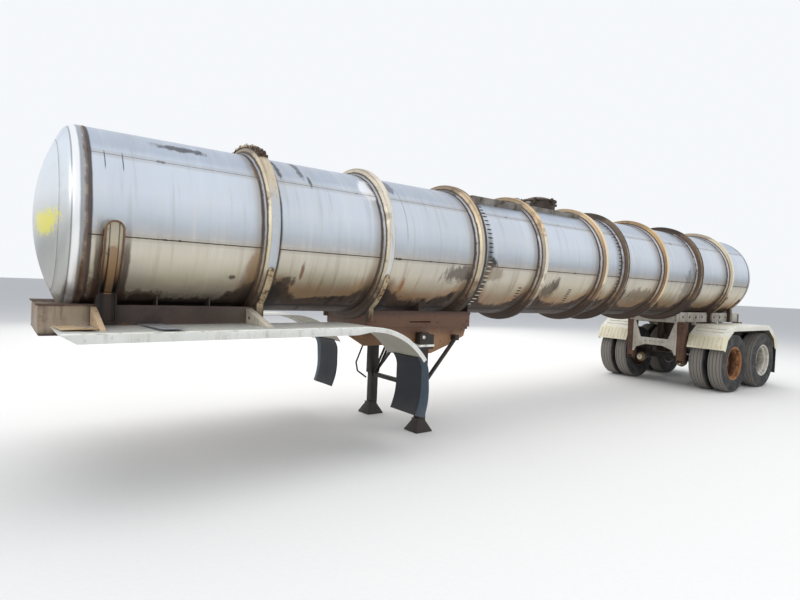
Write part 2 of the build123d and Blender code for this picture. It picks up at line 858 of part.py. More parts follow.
def crossmember():
    """The plate between the front hangers: a tapering window above and an arch below."""
    half = hanger_inner - seat_gap
    base = level(9670, 0)[1]
    top = rail_underside
    outline = [
        (-half, top),
        (-half, base + 600),
        (-half + 34, base + 600),
        (-362, base + 684),
        (-170, base + 752),
        (170, base + 752),
        (362, base + 684),
        (half - 34, base + 600),
        (half, base + 600),
        (half, top),
    ]
    window = [(-385, top - 18), (-273, base + 887), (273, base + 887), (385, top - 18)]
    plate = cross_plate(outline, crossmember_station, crossmember_station + 10)
    plate -= cross_plate(window, crossmember_station - 1, crossmember_station + 11)
    for index in range(5):
        y = -166 + index * 83
        plate -= lengthways(crossmember_station - 1, crossmember_station + 11, y, base + 820, 11)
    plate += block(crossmember_station, crossmember_station + 60, -half, half, top - 12, top)
    return plate


keep("rear_crossmember", crossmember())


def axle(station, height):
    """A round tube with a spindle at each end and a backing plate behind each drum."""
    hub_inner = outer_tyre_face - tyre_width - dual_spacing + 20
    beam_half = hub_inner - 30
    tube = crossways(station, height, axle_tube_radius, -beam_half, beam_half)
    tube += crossways(station, height, spindle_radius, -hub_outer_end + 40, hub_outer_end - 40)
    for y in (-beam_half + 4, beam_half - 16):
        tube += crossways(station, height, drum_radius - drum_wall - 12, y, y + 12)
    return tube


tyre_centres = (outer_tyre_face - tyre_width / 2 - dual_spacing, outer_tyre_face - tyre_width / 2)
mount_plane = sum(tyre_centres) / 2
hub_outer_end = mount_plane + 165
keep("axles", *[axle(*point) for point in axle_points.values()])


def brake_chamber(station, height):
    """A round air chamber ahead of the axle, its arm and the rod that turns the cam."""
    y = brake_chamber_y
    z = height - 62
    front = station - 385
    axle_face = station - axle_tube_radius - seat_gap
    can = lengthways(front, front + 150, y, z, brake_chamber_radius)
    can = chamfer(can.faces().sort_by(Axis.X)[-1].edges(), 14)
    can += lengthways(front + 64, front + 84, y, z, brake_chamber_radius + 9)
    can += lengthways(front - 12, front + 5, y, z, 20)
    can += lengthways(front + 140, station - 128, y, z, 12)
    can += block(station - 142, station - 118, y - 14, y + 14, z - 20, height + 24)
    arm = block(front + 150, axle_face, y - 62, y - 50, z - 30, height + 30)
    return can + arm + block(front + 145, front + 155, y - 62, y + 40, z - 40, z + 40)


keep("brake_chambers", *[c for point in axle_points.values() for c in both_sides(brake_chamber(*point))])

# Wheels: twin tyres on two disc wheels, bolted to one hub and drum


def about_axle(profile):
    """Turns a profile of y and radius about the axle's line, drawn as x and y."""
    return Rot(0, 0, 90) * revolve(profile, Axis.X, 360)


def tyre(centre):
    """One tyre's section: flat tread, rounded shoulders, bulged sidewalls and square beads."""
    half = tyre_width / 2
    tread = half - 26
    bead_face = rim_half_width - seat_gap
    sidewall = tyre_radius - bead_radius
    shoulder = (half - 12, tyre_radius - 0.16 * sidewall)
    upper = (half - 3, tyre_radius - 0.34 * sidewall)
    widest = (half, tyre_radius - 0.54 * sidewall)
    lower = (half - 16, tyre_radius - 0.79 * sidewall)
    right = [
        Line((0, tyre_radius), (tread, tyre_radius - 5)),
        ThreePointArc((tread, tyre_radius - 5), shoulder, upper),
        ThreePointArc(upper, widest, lower),
        Line(lower, (rim_half_width + 10, bead_radius + 18)),
        Line((rim_half_width + 10, bead_radius + 18), (bead_face, bead_radius + 12)),
        Line((bead_face, bead_radius + 12), (bead_face, bead_radius + seat_gap)),
        Line((bead_face, bead_radius + seat_gap), (0, bead_radius + seat_gap)),
    ]
    left = [mirror(edge, about=Plane.YZ) for edge in right]
    face = make_face([*right, *left])
    return about_axle(Pos(centre, 0) * face)


def disc_wheel(centre, side):
    """A drop-centre rim and a disc that ends on the mounting face. side is -1 for the inner wheel."""
    mount = side * (mount_plane - centre)
    outer = [
        (-rim_half_width - 12, bead_radius + 14),
        (-rim_half_width, bead_radius + 11),
        (-rim_half_width, bead_radius - seat_gap),
        (-70, bead_radius - 5),
        (-52, bead_radius - 24),
        (44, bead_radius - 24),
        (62, bead_radius - 5),
        (rim_half_width, bead_radius - seat_gap),
        (rim_half_width, bead_radius + 11),
        (rim_half_width + 12, bead_radius + 14),
    ]
    inner = [
        (rim_half_width + 12, bead_radius + 6),
        (rim_half_width + 5, bead_radius - 9),
        (66, bead_radius - 14),
        (48, bead_radius - 32),
        (-56, bead_radius - 32),
        (-74, bead_radius - 14),
        (-rim_half_width - 5, bead_radius - 9),
        (-rim_half_width - 12, bead_radius + 6),
    ]
    rim = Polygon(*outer, *inner, align=None)
    shoulder = bead_radius - 30
    disc = Polygon(
        (-92, bead_radius - 8),
        (-60, bead_radius - 24),
        (mount + disc_thickness + 42, shoulder - 26),
        (mount + disc_thickness, stud_circle_radius + 45),
        (mount + disc_thickness, pilot_radius + seat_gap),
        (mount, pilot_radius + seat_gap),
        (mount, stud_circle_radius + 48),
        (mount + 30, shoulder - 30),
        align=None,
    )
    face = rim + disc
    if side < 0:
        face = mirror(face, about=Plane.YZ)
    return about_axle(Pos(centre, 0) * face)


def hub():
    """Hub barrel, wheel flange, brake drum and domed cap in one turned piece."""
    bore = spindle_radius + spindle_clearance
    flange = mount_plane - disc_thickness - seat_gap
    drum_open = outer_tyre_face - tyre_width - dual_spacing + 20
    profile = Polygon(
        (drum_open + 40, bore),
        (drum_open + 40, 82),
        (flange - 60, 92),
        (flange - 22, 120),
        (flange - 22, drum_radius - drum_wall),
        (drum_open, drum_radius - drum_wall),
        (drum_open, drum_radius),
        (flange - 66, drum_radius),
        (flange, stud_circle_radius + 37),
        (flange, pilot_radius),
        (mount_plane + disc_thickness + 6, pilot_radius),
        (mount_plane + disc_thickness + 18, 98),
        (hub_outer_end - 52, 86),
        (hub_outer_end - 30, 84),
        (hub_outer_end, 66),
        (hub_outer_end, 0),
        (hub_outer_end - 12, 0),
        (hub_outer_end - 38, bore),
        align=None,
    )
    return about_axle(profile)


def hand_holes(radius=29, circle=205, count=10):
    """Round holes through both discs, about the axle's line."""
    cutter = None
    for index in range(count):
        turn = Rot(0, 360 / count * (index + 0.5), 0)
        hole = turn * Pos(0, mount_plane, circle) * Rot(90, 0, 0) * Cylinder(radius, 130)
        cutter = hole if cutter is None else cutter + hole
    return cutter


wheel_tyres = [tyre(centre) for centre in tyre_centres]
inner_wheel = disc_wheel(tyre_centres[0], -1)
outer_wheel = disc_wheel(tyre_centres[1], 1)
dual_wheels = inner_wheel + outer_wheel - hand_holes()
wheel_hub = hub()
for axle_name, (station, height) in axle_points.items():
    for side_name, turned in (("left", False), ("right", True)):
        for piece, solids in (("tyres", wheel_tyres), ("wheels", [dual_wheels]), ("hub", [wheel_hub])):
            if turned:
                solids = [mirrored(solid) for solid in solids]
            keep(f"{axle_name}_{side_name}_{piece}", *[Pos(-station, 0, height) * s for s in solids])

# Rear fenders


def rear_fender():
    """A folded sheet over both wheels with a side lip."""
    line = [level(*point) for point in rear_fender_line]
    path = [Vector(-s, z) for s, z in line]

    def inset(depth):
        """The same folds, moved in square to each panel."""
        moved = []
        for index, point in enumerate(path):
            before = (point - path[index - 1]).normalized() if index else None
            after = (path[index + 1] - point).normalized() if index < len(path) - 1 else None
            before = before or after
            after = after or before
            normal_a = Vector(-before.Y, before.X)
            normal_b = Vector(-after.Y, after.X)
            mean = (normal_a + normal_b).normalized()
            moved.append(point + mean * (depth / mean.dot(normal_a)))
        return moved

    def between(depth, y0, y1):
        outline = [*path, *reversed(inset(depth))]
        return side_plate([(-p.X, p.Y) for p in outline], y0, y1)

    fender = between(fender_sheet, rear_fender_inner, rear_fender_outer)
    return fender + between(rear_fender_lip, rear_fender_outer - fender_sheet, rear_fender_outer)


side_fender = rear_fender()
keep("rear_fender_left", side_fender)
keep("rear_fender_right", mirrored(side_fender))


def fender_arm(station, inner, drop):
    """A square arm under the fender's flat top, with a drop leg up to the rail where it has none."""
    (front, front_height), (rear, rear_height) = rear_fender_line[2:4]
    fall = (station - front) / (rear - front) * (front_height - rear_height)
    top = level(station, front_height - fall)[1] - fender_sheet - 2 * seat_gap
    arm = block(station - 22, station + 22, inner, rear_fender_outer - 60, top - 36, top)
    if drop:
        arm += block(station - 22, station + 22, inner, rear_rail_outer, top - 36, rail_underside)
    return arm


arm_spread = 570
arm_root = rear_rail_outer - 70
keep(
    "rear_fender_arms",
    *both_sides(
        fender_arm(tandem_middle - arm_spread, arm_root, True),
        fender_arm(tandem_middle, hanger_outer + 8 + seat_gap, False),
        fender_arm(tandem_middle + arm_spread, arm_root, True),
    ),
)

# Rear mud flaps, bumper and light bar


def rear_flap():
    """A rubber sheet hung on the back of the rear fender, square to the ground below it."""
    (s0, z0), (s1, z1) = rear_fender_line[-2:]
    run = (s1 - s0) / (z1 - z0)
    gap = seat_gap * 1.2
    lap = 60
    lapped = [(s1 + gap - run * -lap, z1 + lap), (s1 + gap, z1), (s1 + 15, z1 - 40), (s1 + 15, 250)]
    back = [(s + flap_thickness, z) for s, z in reversed(lapped)]
    return side_plate([level(*point) for point in [*lapped, *back]], 625, 1225)


keep("rear_mud_flaps", *both_sides(rear_flap()))

post_inner, post_outer = 360, 450
bumper_station, bumper_level = level(bumper_back, bumper_height)
half_bar = bumper_size / 2
bar = block(
    bumper_station - bumper_size,
    bumper_station,
    -bumper_half_width,
    bumper_half_width,
    bumper_level - half_bar,
    bumper_level + half_bar,
)
bar = fillet(bar.edges().filter_by(Axis.Y), 12)
post_back = bumper_station - 25
post_front = rear_rail_end + seat_gap
post = block(post_front, post_back, post_inner, post_outer, bumper_level - 40, rear_rail_top - 20)
keep("rear_bumper", bar + post + mirrored(post))

light_bar = block(
    post_back + seat_gap, post_back + 22, -1000, 1000, light_bar_height - 55, light_bar_height + 55
)
keep("tail_light_bar", fillet(light_bar.edges().filter_by(Axis.X), 20))


# Rear outlet


def outlet():
    """A sump under the tank, an elbow, a valve body and a flanged end that points backward."""
    pipe = rod(
        [
            (outlet_station, 0, outlet_height + 110),
            (outlet_station, 0, outlet_height),
            (outlet_end - 5, 0, outlet_height),
        ],
        outlet_pipe_radius,
        85,
    )
    pipe += upright(outlet_station, 0, outlet_height + 85, 1440, 125) - tank_seat
    pipe += Pos(-(outlet_end - 150), 0, outlet_height) * Sphere(82)
    pipe += upright(outlet_end - 150, 0, outlet_height, outlet_height + 105, 24)
    pipe += lengthways(outlet_end - 232, outlet_end - 218, 0, outlet_height, 82)
    pipe += lengthways(outlet_end - 82, outlet_end - 68, 0, outlet_height, 82)
    pipe += lengthways(outlet_end - 14, outlet_end, 0, outlet_height, 84)
    pipe -= lengthways(outlet_end - 60, outlet_end + 1, 0, outlet_height, outlet_bore_radius)
    for index in range(outlet_bolt_count):
        angle = radians(360 / outlet_bolt_count * (index + 0.5))
        y = outlet_bolt_circle / 2 * cos(angle)
        z = outlet_height + outlet_bolt_circle / 2 * sin(angle)
        pipe -= lengthways(outlet_end - 20, outlet_end + 5, y, z, outlet_bolt_hole / 2)
    return pipe


keep("rear_outlet", outlet())

# Manway and kerbs on top

tank_top = tank_axis + tank_radius
collar_top = tank_top + collar_height
flange_radius = manway_radius + collar_flange
hinge_station = manway_station + hinge_reach
hinge_height = collar_top + 12


def manway_collar():
    """A short neck with a flange, two hinge lugs behind it and clamp lugs round it."""
    neck = upright(manway_station, 0, tank_top - 80, collar_top, manway_radius)
    neck += upright(manway_station, 0, collar_top - 14, collar_top, flange_radius)
    back = hinge_station + 18
    for y in (-62, 48):
        neck += block(manway_station + manway_radius - 20, back, y, y + 14, tank_top + 40, collar_top - 2)
        neck += block(manway_station + flange_radius + 6, back, y, y + 14, tank_top + 40, hinge_height + 18)
    for index in range(6):
        angle = 30 + index * 60
        ear = Pos(-manway_station, 0, collar_top - 40) * Rot(0, 0, angle) * Pos(manway_radius + 18, 0, 0)
        neck += ear * Box(52, 34, 36)
    neck -= upright(manway_station, 0, tank_top - 90, collar_top + 1, manway_radius - collar_wall)
    neck -= crossways(hinge_station, hinge_height, hinge_pin_radius + hinge_pin_clearance, -90, 90)
    return neck - tank_seat


def manway_lid():
    """A domed lid with a flat rim, a strap and a pin that turns in the collar's lugs."""
    base = collar_top + seat_gap
    dome_radius = manway_radius - 22
    rim = upright(manway_station, 0, base, base + lid_thickness, flange_radius)
    sphere_radius = (dome_radius**2 + lid_dome**2) / (2 * lid_dome)
    sphere = Pos(-manway_station, 0, base + lid_thickness + lid_dome - sphere_radius) * Sphere(sphere_radius)
    lid_top = base + lid_thickness
    dome = sphere & upright(manway_station, 0, lid_top, lid_top + 200, dome_radius + 1)
    strap = block(manway_station + 150, hinge_station, -30, 30, base, base + 24)
    barrel = crossways(hinge_station, hinge_height, 17, -42, 42)
    pin = crossways(hinge_station, hinge_height, hinge_pin_radius, -72, 72)
    return rim + dome + strap + barrel + pin


keep("manway_collar", manway_collar())
keep("manway_lid", manway_lid())


def kerb(s0, s1, half_width, height, thickness):
    """An upright strip on the shell beside the top centre line, turned in at both ends."""
    surface = sqrt(tank_radius**2 - half_width**2)
    top = tank_axis + surface + height
    strip = block(s0, s1, half_width - 160, half_width, tank_axis, top)
    inner = half_width - thickness
    strip -= block(s0 + thickness, s1 - thickness, half_width - 200, inner, tank_axis, top + 1)
    return strip - tank_seat


keep("top_kerbs", *[solid for row in kerb_table for solid in both_sides(kerb(*row))])


def vent(station, y, body_radius, body_height):
    """A relief vent: base flange, body and a wider cap."""
    foot = tank_axis + sqrt(tank_radius**2 - y**2)
    stack = upright(station, y, foot - 40, foot + 18, body_radius + 22)
    stack += upright(station, y, foot, foot + body_height, body_radius)
    cap = upright(station, y, foot + body_height - 24, foot + body_height, body_radius + 12)
    return stack + chamfer(cap.faces().sort_by(Axis.Z)[-1].edges(), 8) - tank_seat


rear_vent_station = hinge_station + 74
keep("top_vents", vent(5585, 0, 44, 118), vent(5720, 120, 26, 84), vent(rear_vent_station, -60, 34, 96))


def ladder():
    """Two stiles that stand off the right side and bend over the shell, with rungs between them."""
    frame = None
    stile_stations = (ladder_station - ladder_width / 2, ladder_station + ladder_width / 2)
    landing_y = 500
    landing_z = tank_axis + sqrt(tank_radius**2 - landing_y**2)
    for station in stile_stations:
        route = [
            (station, -ladder_y, ladder_foot),
            (station, -ladder_y, landing_z - 20),
            (station, -landing_y - 60, landing_z + 110),
            (station, -landing_y, landing_z + 2),
        ]
        stile = rod(route, 16, 40)
        for stand_off in (tank_axis - 480, tank_axis + 60, tank_axis + 420):
            reach = sqrt(tank_radius**2 - (stand_off - tank_axis) ** 2) - 30
            stile += crossways(station, stand_off, 12, -ladder_y, -reach)
        frame = stile if frame is None else frame + stile
    rung = ladder_foot + 60
    while rung < landing_z - 60:
        frame += lengthways(*stile_stations, -ladder_y, rung, 12)
        rung += rung_spacing
    return frame - tank_seat


keep("side_ladder", ladder())

for name, shape in nodes.items():
    export_step(shape, f"parts/{name}.step")

# What the record needs, on level ground
waist_bottom = coupler_height - kingpin_neck_length - kingpin_waist_length
collar_middle = waist_bottom - (kingpin_collar_length - kingpin_collar_chamfer) / 2
marks = {
    "kingpin waist": (-kingpin_station, 0, waist_bottom + kingpin_waist_length / 2),
    "kingpin collar": (-kingpin_station, 0, collar_middle),
    "coupler plate": (-kingpin_station, 0, coupler_height),
    "outlet flange": (-outlet_end, 0, outlet_height),
    "lid hinge": (-hinge_station, 0, hinge_height),
    "manway neck": (-manway_station, 0, tank_top),
    **{f"{name} axle": (-s, 0, z) for name, (s, z) in axle_points.items()},
}
for label, point in marks.items():
    print(label, [round(value, 2) for value in on_ground(point)])
bounds = Compound([solid for shape in nodes.values() for solid in shape.solids()]).bounding_box()
print("bounds", bounds.min, bounds.max)
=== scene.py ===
from math import acos, atan2, cos, hypot, pi, radians, sin, sqrt, tan

import bmesh
import bpy
from mathutils import Matrix, Vector, noise


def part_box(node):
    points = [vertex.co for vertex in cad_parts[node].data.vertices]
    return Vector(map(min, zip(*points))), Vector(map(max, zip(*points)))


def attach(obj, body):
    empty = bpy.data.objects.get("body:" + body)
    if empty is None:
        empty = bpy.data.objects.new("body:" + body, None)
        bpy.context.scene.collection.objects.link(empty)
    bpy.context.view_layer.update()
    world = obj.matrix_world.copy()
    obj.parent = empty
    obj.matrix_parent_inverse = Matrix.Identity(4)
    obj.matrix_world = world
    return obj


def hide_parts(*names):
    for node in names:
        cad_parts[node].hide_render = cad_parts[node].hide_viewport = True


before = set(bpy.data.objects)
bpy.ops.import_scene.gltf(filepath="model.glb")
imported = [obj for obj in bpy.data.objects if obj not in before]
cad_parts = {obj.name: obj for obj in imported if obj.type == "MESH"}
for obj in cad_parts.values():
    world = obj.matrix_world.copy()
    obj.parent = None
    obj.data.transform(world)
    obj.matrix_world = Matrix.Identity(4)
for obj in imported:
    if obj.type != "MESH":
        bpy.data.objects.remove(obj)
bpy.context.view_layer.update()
print("stage 1: frame loaded,", len(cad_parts), "nodes")

# The body is modelled along its own axis: x is minus the station behind the front head seam,
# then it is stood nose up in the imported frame. Metres.
stance = {"noseUp": radians(0.366), "seamX": 5.95797, "axisHeight": 2.1878}
shift = Matrix.Translation
axisHeight = stance["axisHeight"]
axisAt = Vector((0, 0, axisHeight))
standUp = shift((stance["seamX"], 0, axisHeight)) @ Matrix.Rotation(-stance["noseUp"], 4, "Y") @ shift(-axisAt)
tank = {"radius": 0.7874, "length": 11.740, "flange": 0.045, "crown": 1.575, "knuckle": 0.115, "segments": 180}
hoop = {"height": 0.089, "slope": 0.038, "gap": 0.0004, "round": 0.011}
saddle = {"middle": 0.174}
headCreases = (0.635, 0.762)  # pressed rings in the front head, by their distance from the axis
sides = (("left", 1), ("right", -1))
ringTable = (
    # rear edge, width, front slope's tone, top face's tone, tone of its upper part, soot, stitched
    (1.551, 0.160, (238, 226, 194), (186, 190, 196), (206, 190, 164), 0.55, False),
    (2.844, 0.140, (228, 216, 190), (208, 208, 204), (226, 216, 198), 0.25, False),
    (4.205, 0.150, (222, 206, 176), (190, 180, 164), (214, 186, 150), 0.60, True),
    (5.357, 0.140, (162, 150, 132), (230, 222, 202), (236, 202, 156), 0.50, False),
    (6.731, 0.140, (150, 124, 98), (230, 216, 188), (236, 208, 168), 0.35, False),
    (7.295, 0.130, (96, 82, 70), (158, 140, 118), (120, 104, 88), 0.80, True),
    (8.468, 0.140, (140, 110, 80), (232, 212, 176), (216, 184, 136), 0.40, False),
    (9.675, 0.165, (84, 70, 56), (150, 124, 92), (126, 104, 80), 0.95, True),
    (10.900, 0.140, (196, 178, 148), (234, 228, 212), (226, 214, 190), 0.45, False),
)


# Small tools


def tint(red, green, blue):
    # screen colour 0-255 to the linear colour that a socket takes
    def linear(value):
        value /= 255
        return value / 12.92 if value <= 0.04045 else ((value + 0.055) / 1.055) ** 2.4

    return (linear(red), linear(green), linear(blue), 1)


class Wire:
    # a node's output that can be used in a sum

    def __init__(self, finish, socket):
        self.finish = finish
        self.socket = socket

    def math(self, operation, left, right=0.0):
        return self.finish.node("Math", {"operation": operation}, {0: left, 1: right})

    def __add__(self, other):
        return self.math("ADD", self, other)

    __radd__ = __add__

    def __sub__(self, other):
        return self.math("SUBTRACT", self, other)

    def __rsub__(self, other):
        return self.math("SUBTRACT", other, self)

    def __mul__(self, other):
        return self.math("MULTIPLY", self, other)

    __rmul__ = __mul__

    def __truediv__(self, other):
        return self.math("DIVIDE", self, other)

    def __abs__(self):
        return self.math("ABSOLUTE", self)

    def __or__(self, other):
        # the larger of two masks
        return self.math("MAXIMUM", self, other)

    def least(self, other):
        return self.math("MINIMUM", self, other)

    def root(self):
        return self.math("SQRT", self)

    def wave(self):
        return self.math("SINE", self)


finishes = {}


class Finish:
    # one material round a Principled shader; colour is what its coats have made so far

    def __init__(self, name):
        finishes[name] = self
        self.material = bpy.data.materials.new(name)
        self.material.use_nodes = True
        self.tree = self.material.node_tree
        self.place = self.node("TexCoord", {}, {}, 3)
        self.x = self.node("SeparateXYZ", {}, {0: self.place})
        self.y, self.z = (Wire(self, self.x.socket.node.outputs[index]) for index in (1, 2))

    def join(self, socket, value):
        if isinstance(value, Wire):
            self.tree.links.new(value.socket, socket)
        else:
            socket.default_value = value

    def give(self, label, value):
        self.join(self.tree.nodes["Principled BSDF"].inputs[label], value)

    def node(self, kind, settings, sockets, output=0):
        made = self.tree.nodes.new("ShaderNode" + kind)
        for key, value in settings.items():
            setattr(made, key, value)
        for key, value in sockets.items():
            self.join(made.inputs[key], value)
        return Wire(self, made.outputs[output])

    def cloud(self, scale, detail=4, rough=0.55, stretch=None, twist=0.0):
        vector = self.place
        if stretch:
            vector = self.node("VectorMath", {"operation": "MULTIPLY"}, {0: self.place, 1: stretch})
        sockets = {"Vector": vector, "Scale": scale, "Detail": detail, "Roughness": rough, "Distortion": twist}
        return self.node("TexNoise", {}, sockets)

    def facing(self):
        # how far the surface faces up
        return self.node("SeparateXYZ", {}, {0: self.node("NewGeometry", {}, {}, 1)}, 2)

    def rise(self, value, low, high):
        # 0 at low, 1 at high, smooth between; it falls where high is below low
        sockets = {"Value": value, "From Min": low, "From Max": high}
        return self.node("MapRange", {"interpolation_type": "SMOOTHSTEP"}, sockets)

    def line(self, value, middle, half):
        # a thin line where value passes middle
        return self.rise(abs(value - middle), half, half * 0.45)

    def blot(self, along, up, middle, half, ragged):
        # 1 inside a ragged patch, 0 outside
        sideways = (along - middle[0]) / half[0]
        upwards = (up - middle[1]) / half[1]
        return self.rise((sideways * sideways + upwards * upwards).root() + ragged, 1.10, 0.55)

    def ramp(self, value, *stops):
        made = self.node("ValToRGB", {}, {0: value})
        elements = made.socket.node.color_ramp.elements
        elements.remove(elements[-1])
        for index, (position, tone) in enumerate(stops):
            stop = elements.new(position) if index else elements[0]
            stop.position = position
            stop.color = tint(*tone)
        return made

    def mix(self, factor, under, over):
        # a tone is a wire, a screen colour, or a linear colour with its alpha
        under, over = (tone if isinstance(tone, Wire) or len(tone) == 4 else tint(*tone) for tone in (under, over))
        return self.node("Mix", {"data_type": "RGBA"}, {0: factor, 6: under, 7: over}, 2)

    def lay(self, factor, tone):
        # one more coat over the colour so far
        self.colour = self.mix(factor, self.colour, tone)

    def zone(self, axis, start, full, tone, strength, ragged):
        # a coat that sets in along x, away from the middle plane, or along z
        along = (self.x, abs(self.y), self.z)[axis] + ragged * (full - start)
        self.lay(self.rise(along, start, full) * strength, tone)

    def cover(self, roughness, metallic, height, distance, strength):
        # hands colour, gloss and relief to the shader
        self.give("Base Color", self.colour)
        self.give("Roughness", roughness)
        self.give("Metallic", metallic)
        self.give("Normal", self.node("Bump", {}, {"Height": height, "Distance": distance, "Strength": strength}))


def link(name, mesh):
    piece = bpy.data.objects.new(name, mesh)
    bpy.context.scene.collection.objects.link(piece)
    return piece


def move(bm, matrix, verts=None):
    bmesh.ops.transform(bm, matrix=matrix, verts=bm.verts if verts is None else verts)


def about(point, turn):
    return shift(point) @ turn @ shift(-point)


def aimed(run, axis="Z"):
    return run.to_track_quat(axis, "Y").to_matrix().to_4x4()


def pairs(items, closed=False):
    return zip(items, items[1:] + items[:1] if closed else items[1:])


def finishPiece(name, bm, finish, body="chassis", stands=(), smooth=32, upright=True):
    # bm in body coordinates becomes an object that rides on a body
    if upright:
        move(bm, standUp)
    mesh = bpy.data.meshes.new(name)
    bm.to_mesh(mesh)
    bm.free()
    mesh.shade_smooth()
    mesh.set_sharp_from_angle(angle=radians(smooth))
    mesh.materials.append(finishes[finish].material)
    piece = link(name, mesh)
    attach(piece, body)
    if stands:
        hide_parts(*stands)
    return piece


def softenEdges(bm, offset, angle=35, segments=2, edges=None):
    if edges is None:
        sharp = radians(angle)
        edges = [e for e in bm.edges if len(e.link_faces) == 2 and e.calc_face_angle(0) > sharp]
    bmesh.ops.bevel(
        bm, geom=edges, offset=offset, offset_type="OFFSET", segments=segments, affect="EDGES",
        profile=0.5, material=-1, clamp_overlap=True,
    )


def cadMesh(node, keep=lambda v: True):
    # a CAD part merged, or the half of it that is kept, with its flat faces whole
    bm = bmesh.new()
    bm.from_mesh(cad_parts[node].data)
    bmesh.ops.remove_doubles(bm, verts=bm.verts, dist=0.00003)
    bmesh.ops.delete(bm, geom=[v for v in bm.verts if not keep(v)], context="VERTS")
    bmesh.ops.dissolve_limit(bm, angle_limit=radians(0.4), verts=bm.verts, edges=bm.edges)
    return bm


def dressed(node, finish, body="chassis", soften=0.0015, smooth=32):
    # a CAD part of the right shape, with its edges broken
    bm = cadMesh(node)
    softenEdges(bm, soften)
    return finishPiece("dressed_" + node, bm, finish, body, stands=[node], smooth=smooth, upright=False)


def addCube(bm, middle, size, turn=Matrix.Identity(4)):
    matrix = shift(middle) @ turn @ Matrix.Diagonal((*size, 1))
    return bmesh.ops.create_cube(bm, size=1, matrix=matrix)["verts"]


def addRod(bm, start, end, radius, segments=12):
    # a round bar between two points of bm's own space
    start, end = Vector(start), Vector(end)
    run = end - start
    bmesh.ops.create_cone(
        bm, cap_ends=True, segments=segments, radius1=radius, radius2=radius,
        depth=run.length, matrix=shift((start + end) / 2) @ aimed(run),
    )


def addNut(bm, point, axis, across, depth, stud=0.0):
    # a hexagon nut standing on a face, with its stud
    point, axis = Vector(point), Vector(axis)
    addRod(bm, point, point + axis * depth, across / 2, 6)
    if stud:
        addRod(bm, point, point + axis * (depth + stud), across * 0.27, 10)


def spun(points, axis, centre, segments, closed=False):
    # turns a chain of points about an axis
    bm = bmesh.new()
    verts = [bm.verts.new(point) for point in points]
    edges = [bm.edges.new(pair) for pair in pairs(verts, closed)]
    bmesh.ops.spin(
        bm, geom=verts + edges, cent=centre, axis=axis, angle=2 * pi, steps=segments,
        use_merge=True, use_duplicate=False,
    )
    bmesh.ops.remove_doubles(bm, verts=bm.verts, dist=0.00002)
    bmesh.ops.recalc_face_normals(bm, faces=bm.faces)
    return bm


def onAxis(profile, closed=False):
    # turns x and radius about the tank's axis
    return spun([(x, 0, axisHeight + r) for x, r in profile], (1, 0, 0), axisAt, tank["segments"], closed)


def bead(bm, points, radius, segments=8, closed=False):
    # a weld or rolled edge: a round bead along a line of points
    rows = []
    count = len(points)
    for index, point in enumerate(points):
        before = points[index - 1] if index or closed else points[0]
        after = points[(index + 1) % count] if index < count - 1 or closed else points[-1]
        matrix = shift(point) @ aimed((Vector(after) - Vector(before)).normalized())
        rows.append(bmesh.ops.create_circle(bm, segments=segments, radius=radius, matrix=matrix)["verts"])
    for low, high in pairs(rows, closed):
        edges = {e for v in low + high for e in v.link_edges}
        bmesh.ops.bridge_loops(bm, edges=[
            e for e in edges if all(v in low for v in e.verts) or all(v in high for v in e.verts)
        ])
    if not closed:
        for end in (rows[0], rows[-1]):
            bmesh.ops.contextual_create(bm, geom=end)


def arcPoints(centre, radius, start, end, count):
    turns = [start + (end - start) * i / count for i in range(count + 1)]
    return [(centre[0] + radius * cos(turn), centre[1] + radius * sin(turn)) for turn in turns]


def thicken(bm, thickness):
    # a sheet gets its thickness, faces outward
    bmesh.ops.recalc_face_normals(bm, faces=bm.faces)
    bmesh.ops.solidify(bm, geom=bm.faces[:], thickness=thickness)
    bmesh.ops.recalc_face_normals(bm, faces=bm.faces)


def around(centre, y, radius, count, start=0.0):
    # points round an axle, in a plane across it
    turns = [2 * pi * (index + start) / count for index in range(count)]
    return [(centre[0] + radius * cos(turn), y, centre[2] + radius * sin(turn)) for turn in turns]


# Finishes


def onTank(skin):
    # height above the tank's axis, distance from it, and station, for the finishes of the barrel
    slope = tan(stance["noseUp"])
    lift = skin.z - (skin.x * slope + (axisHeight - stance["seamX"] * slope))
    return lift, (skin.y * skin.y + lift * lift).root(), stance["seamX"] - skin.x


def nearest(value, places):
    # how far value is from the nearest of some places
    gap = abs(value - places[0])
    for place in places[1:]:
        gap = gap.least(abs(value - place))
    return gap


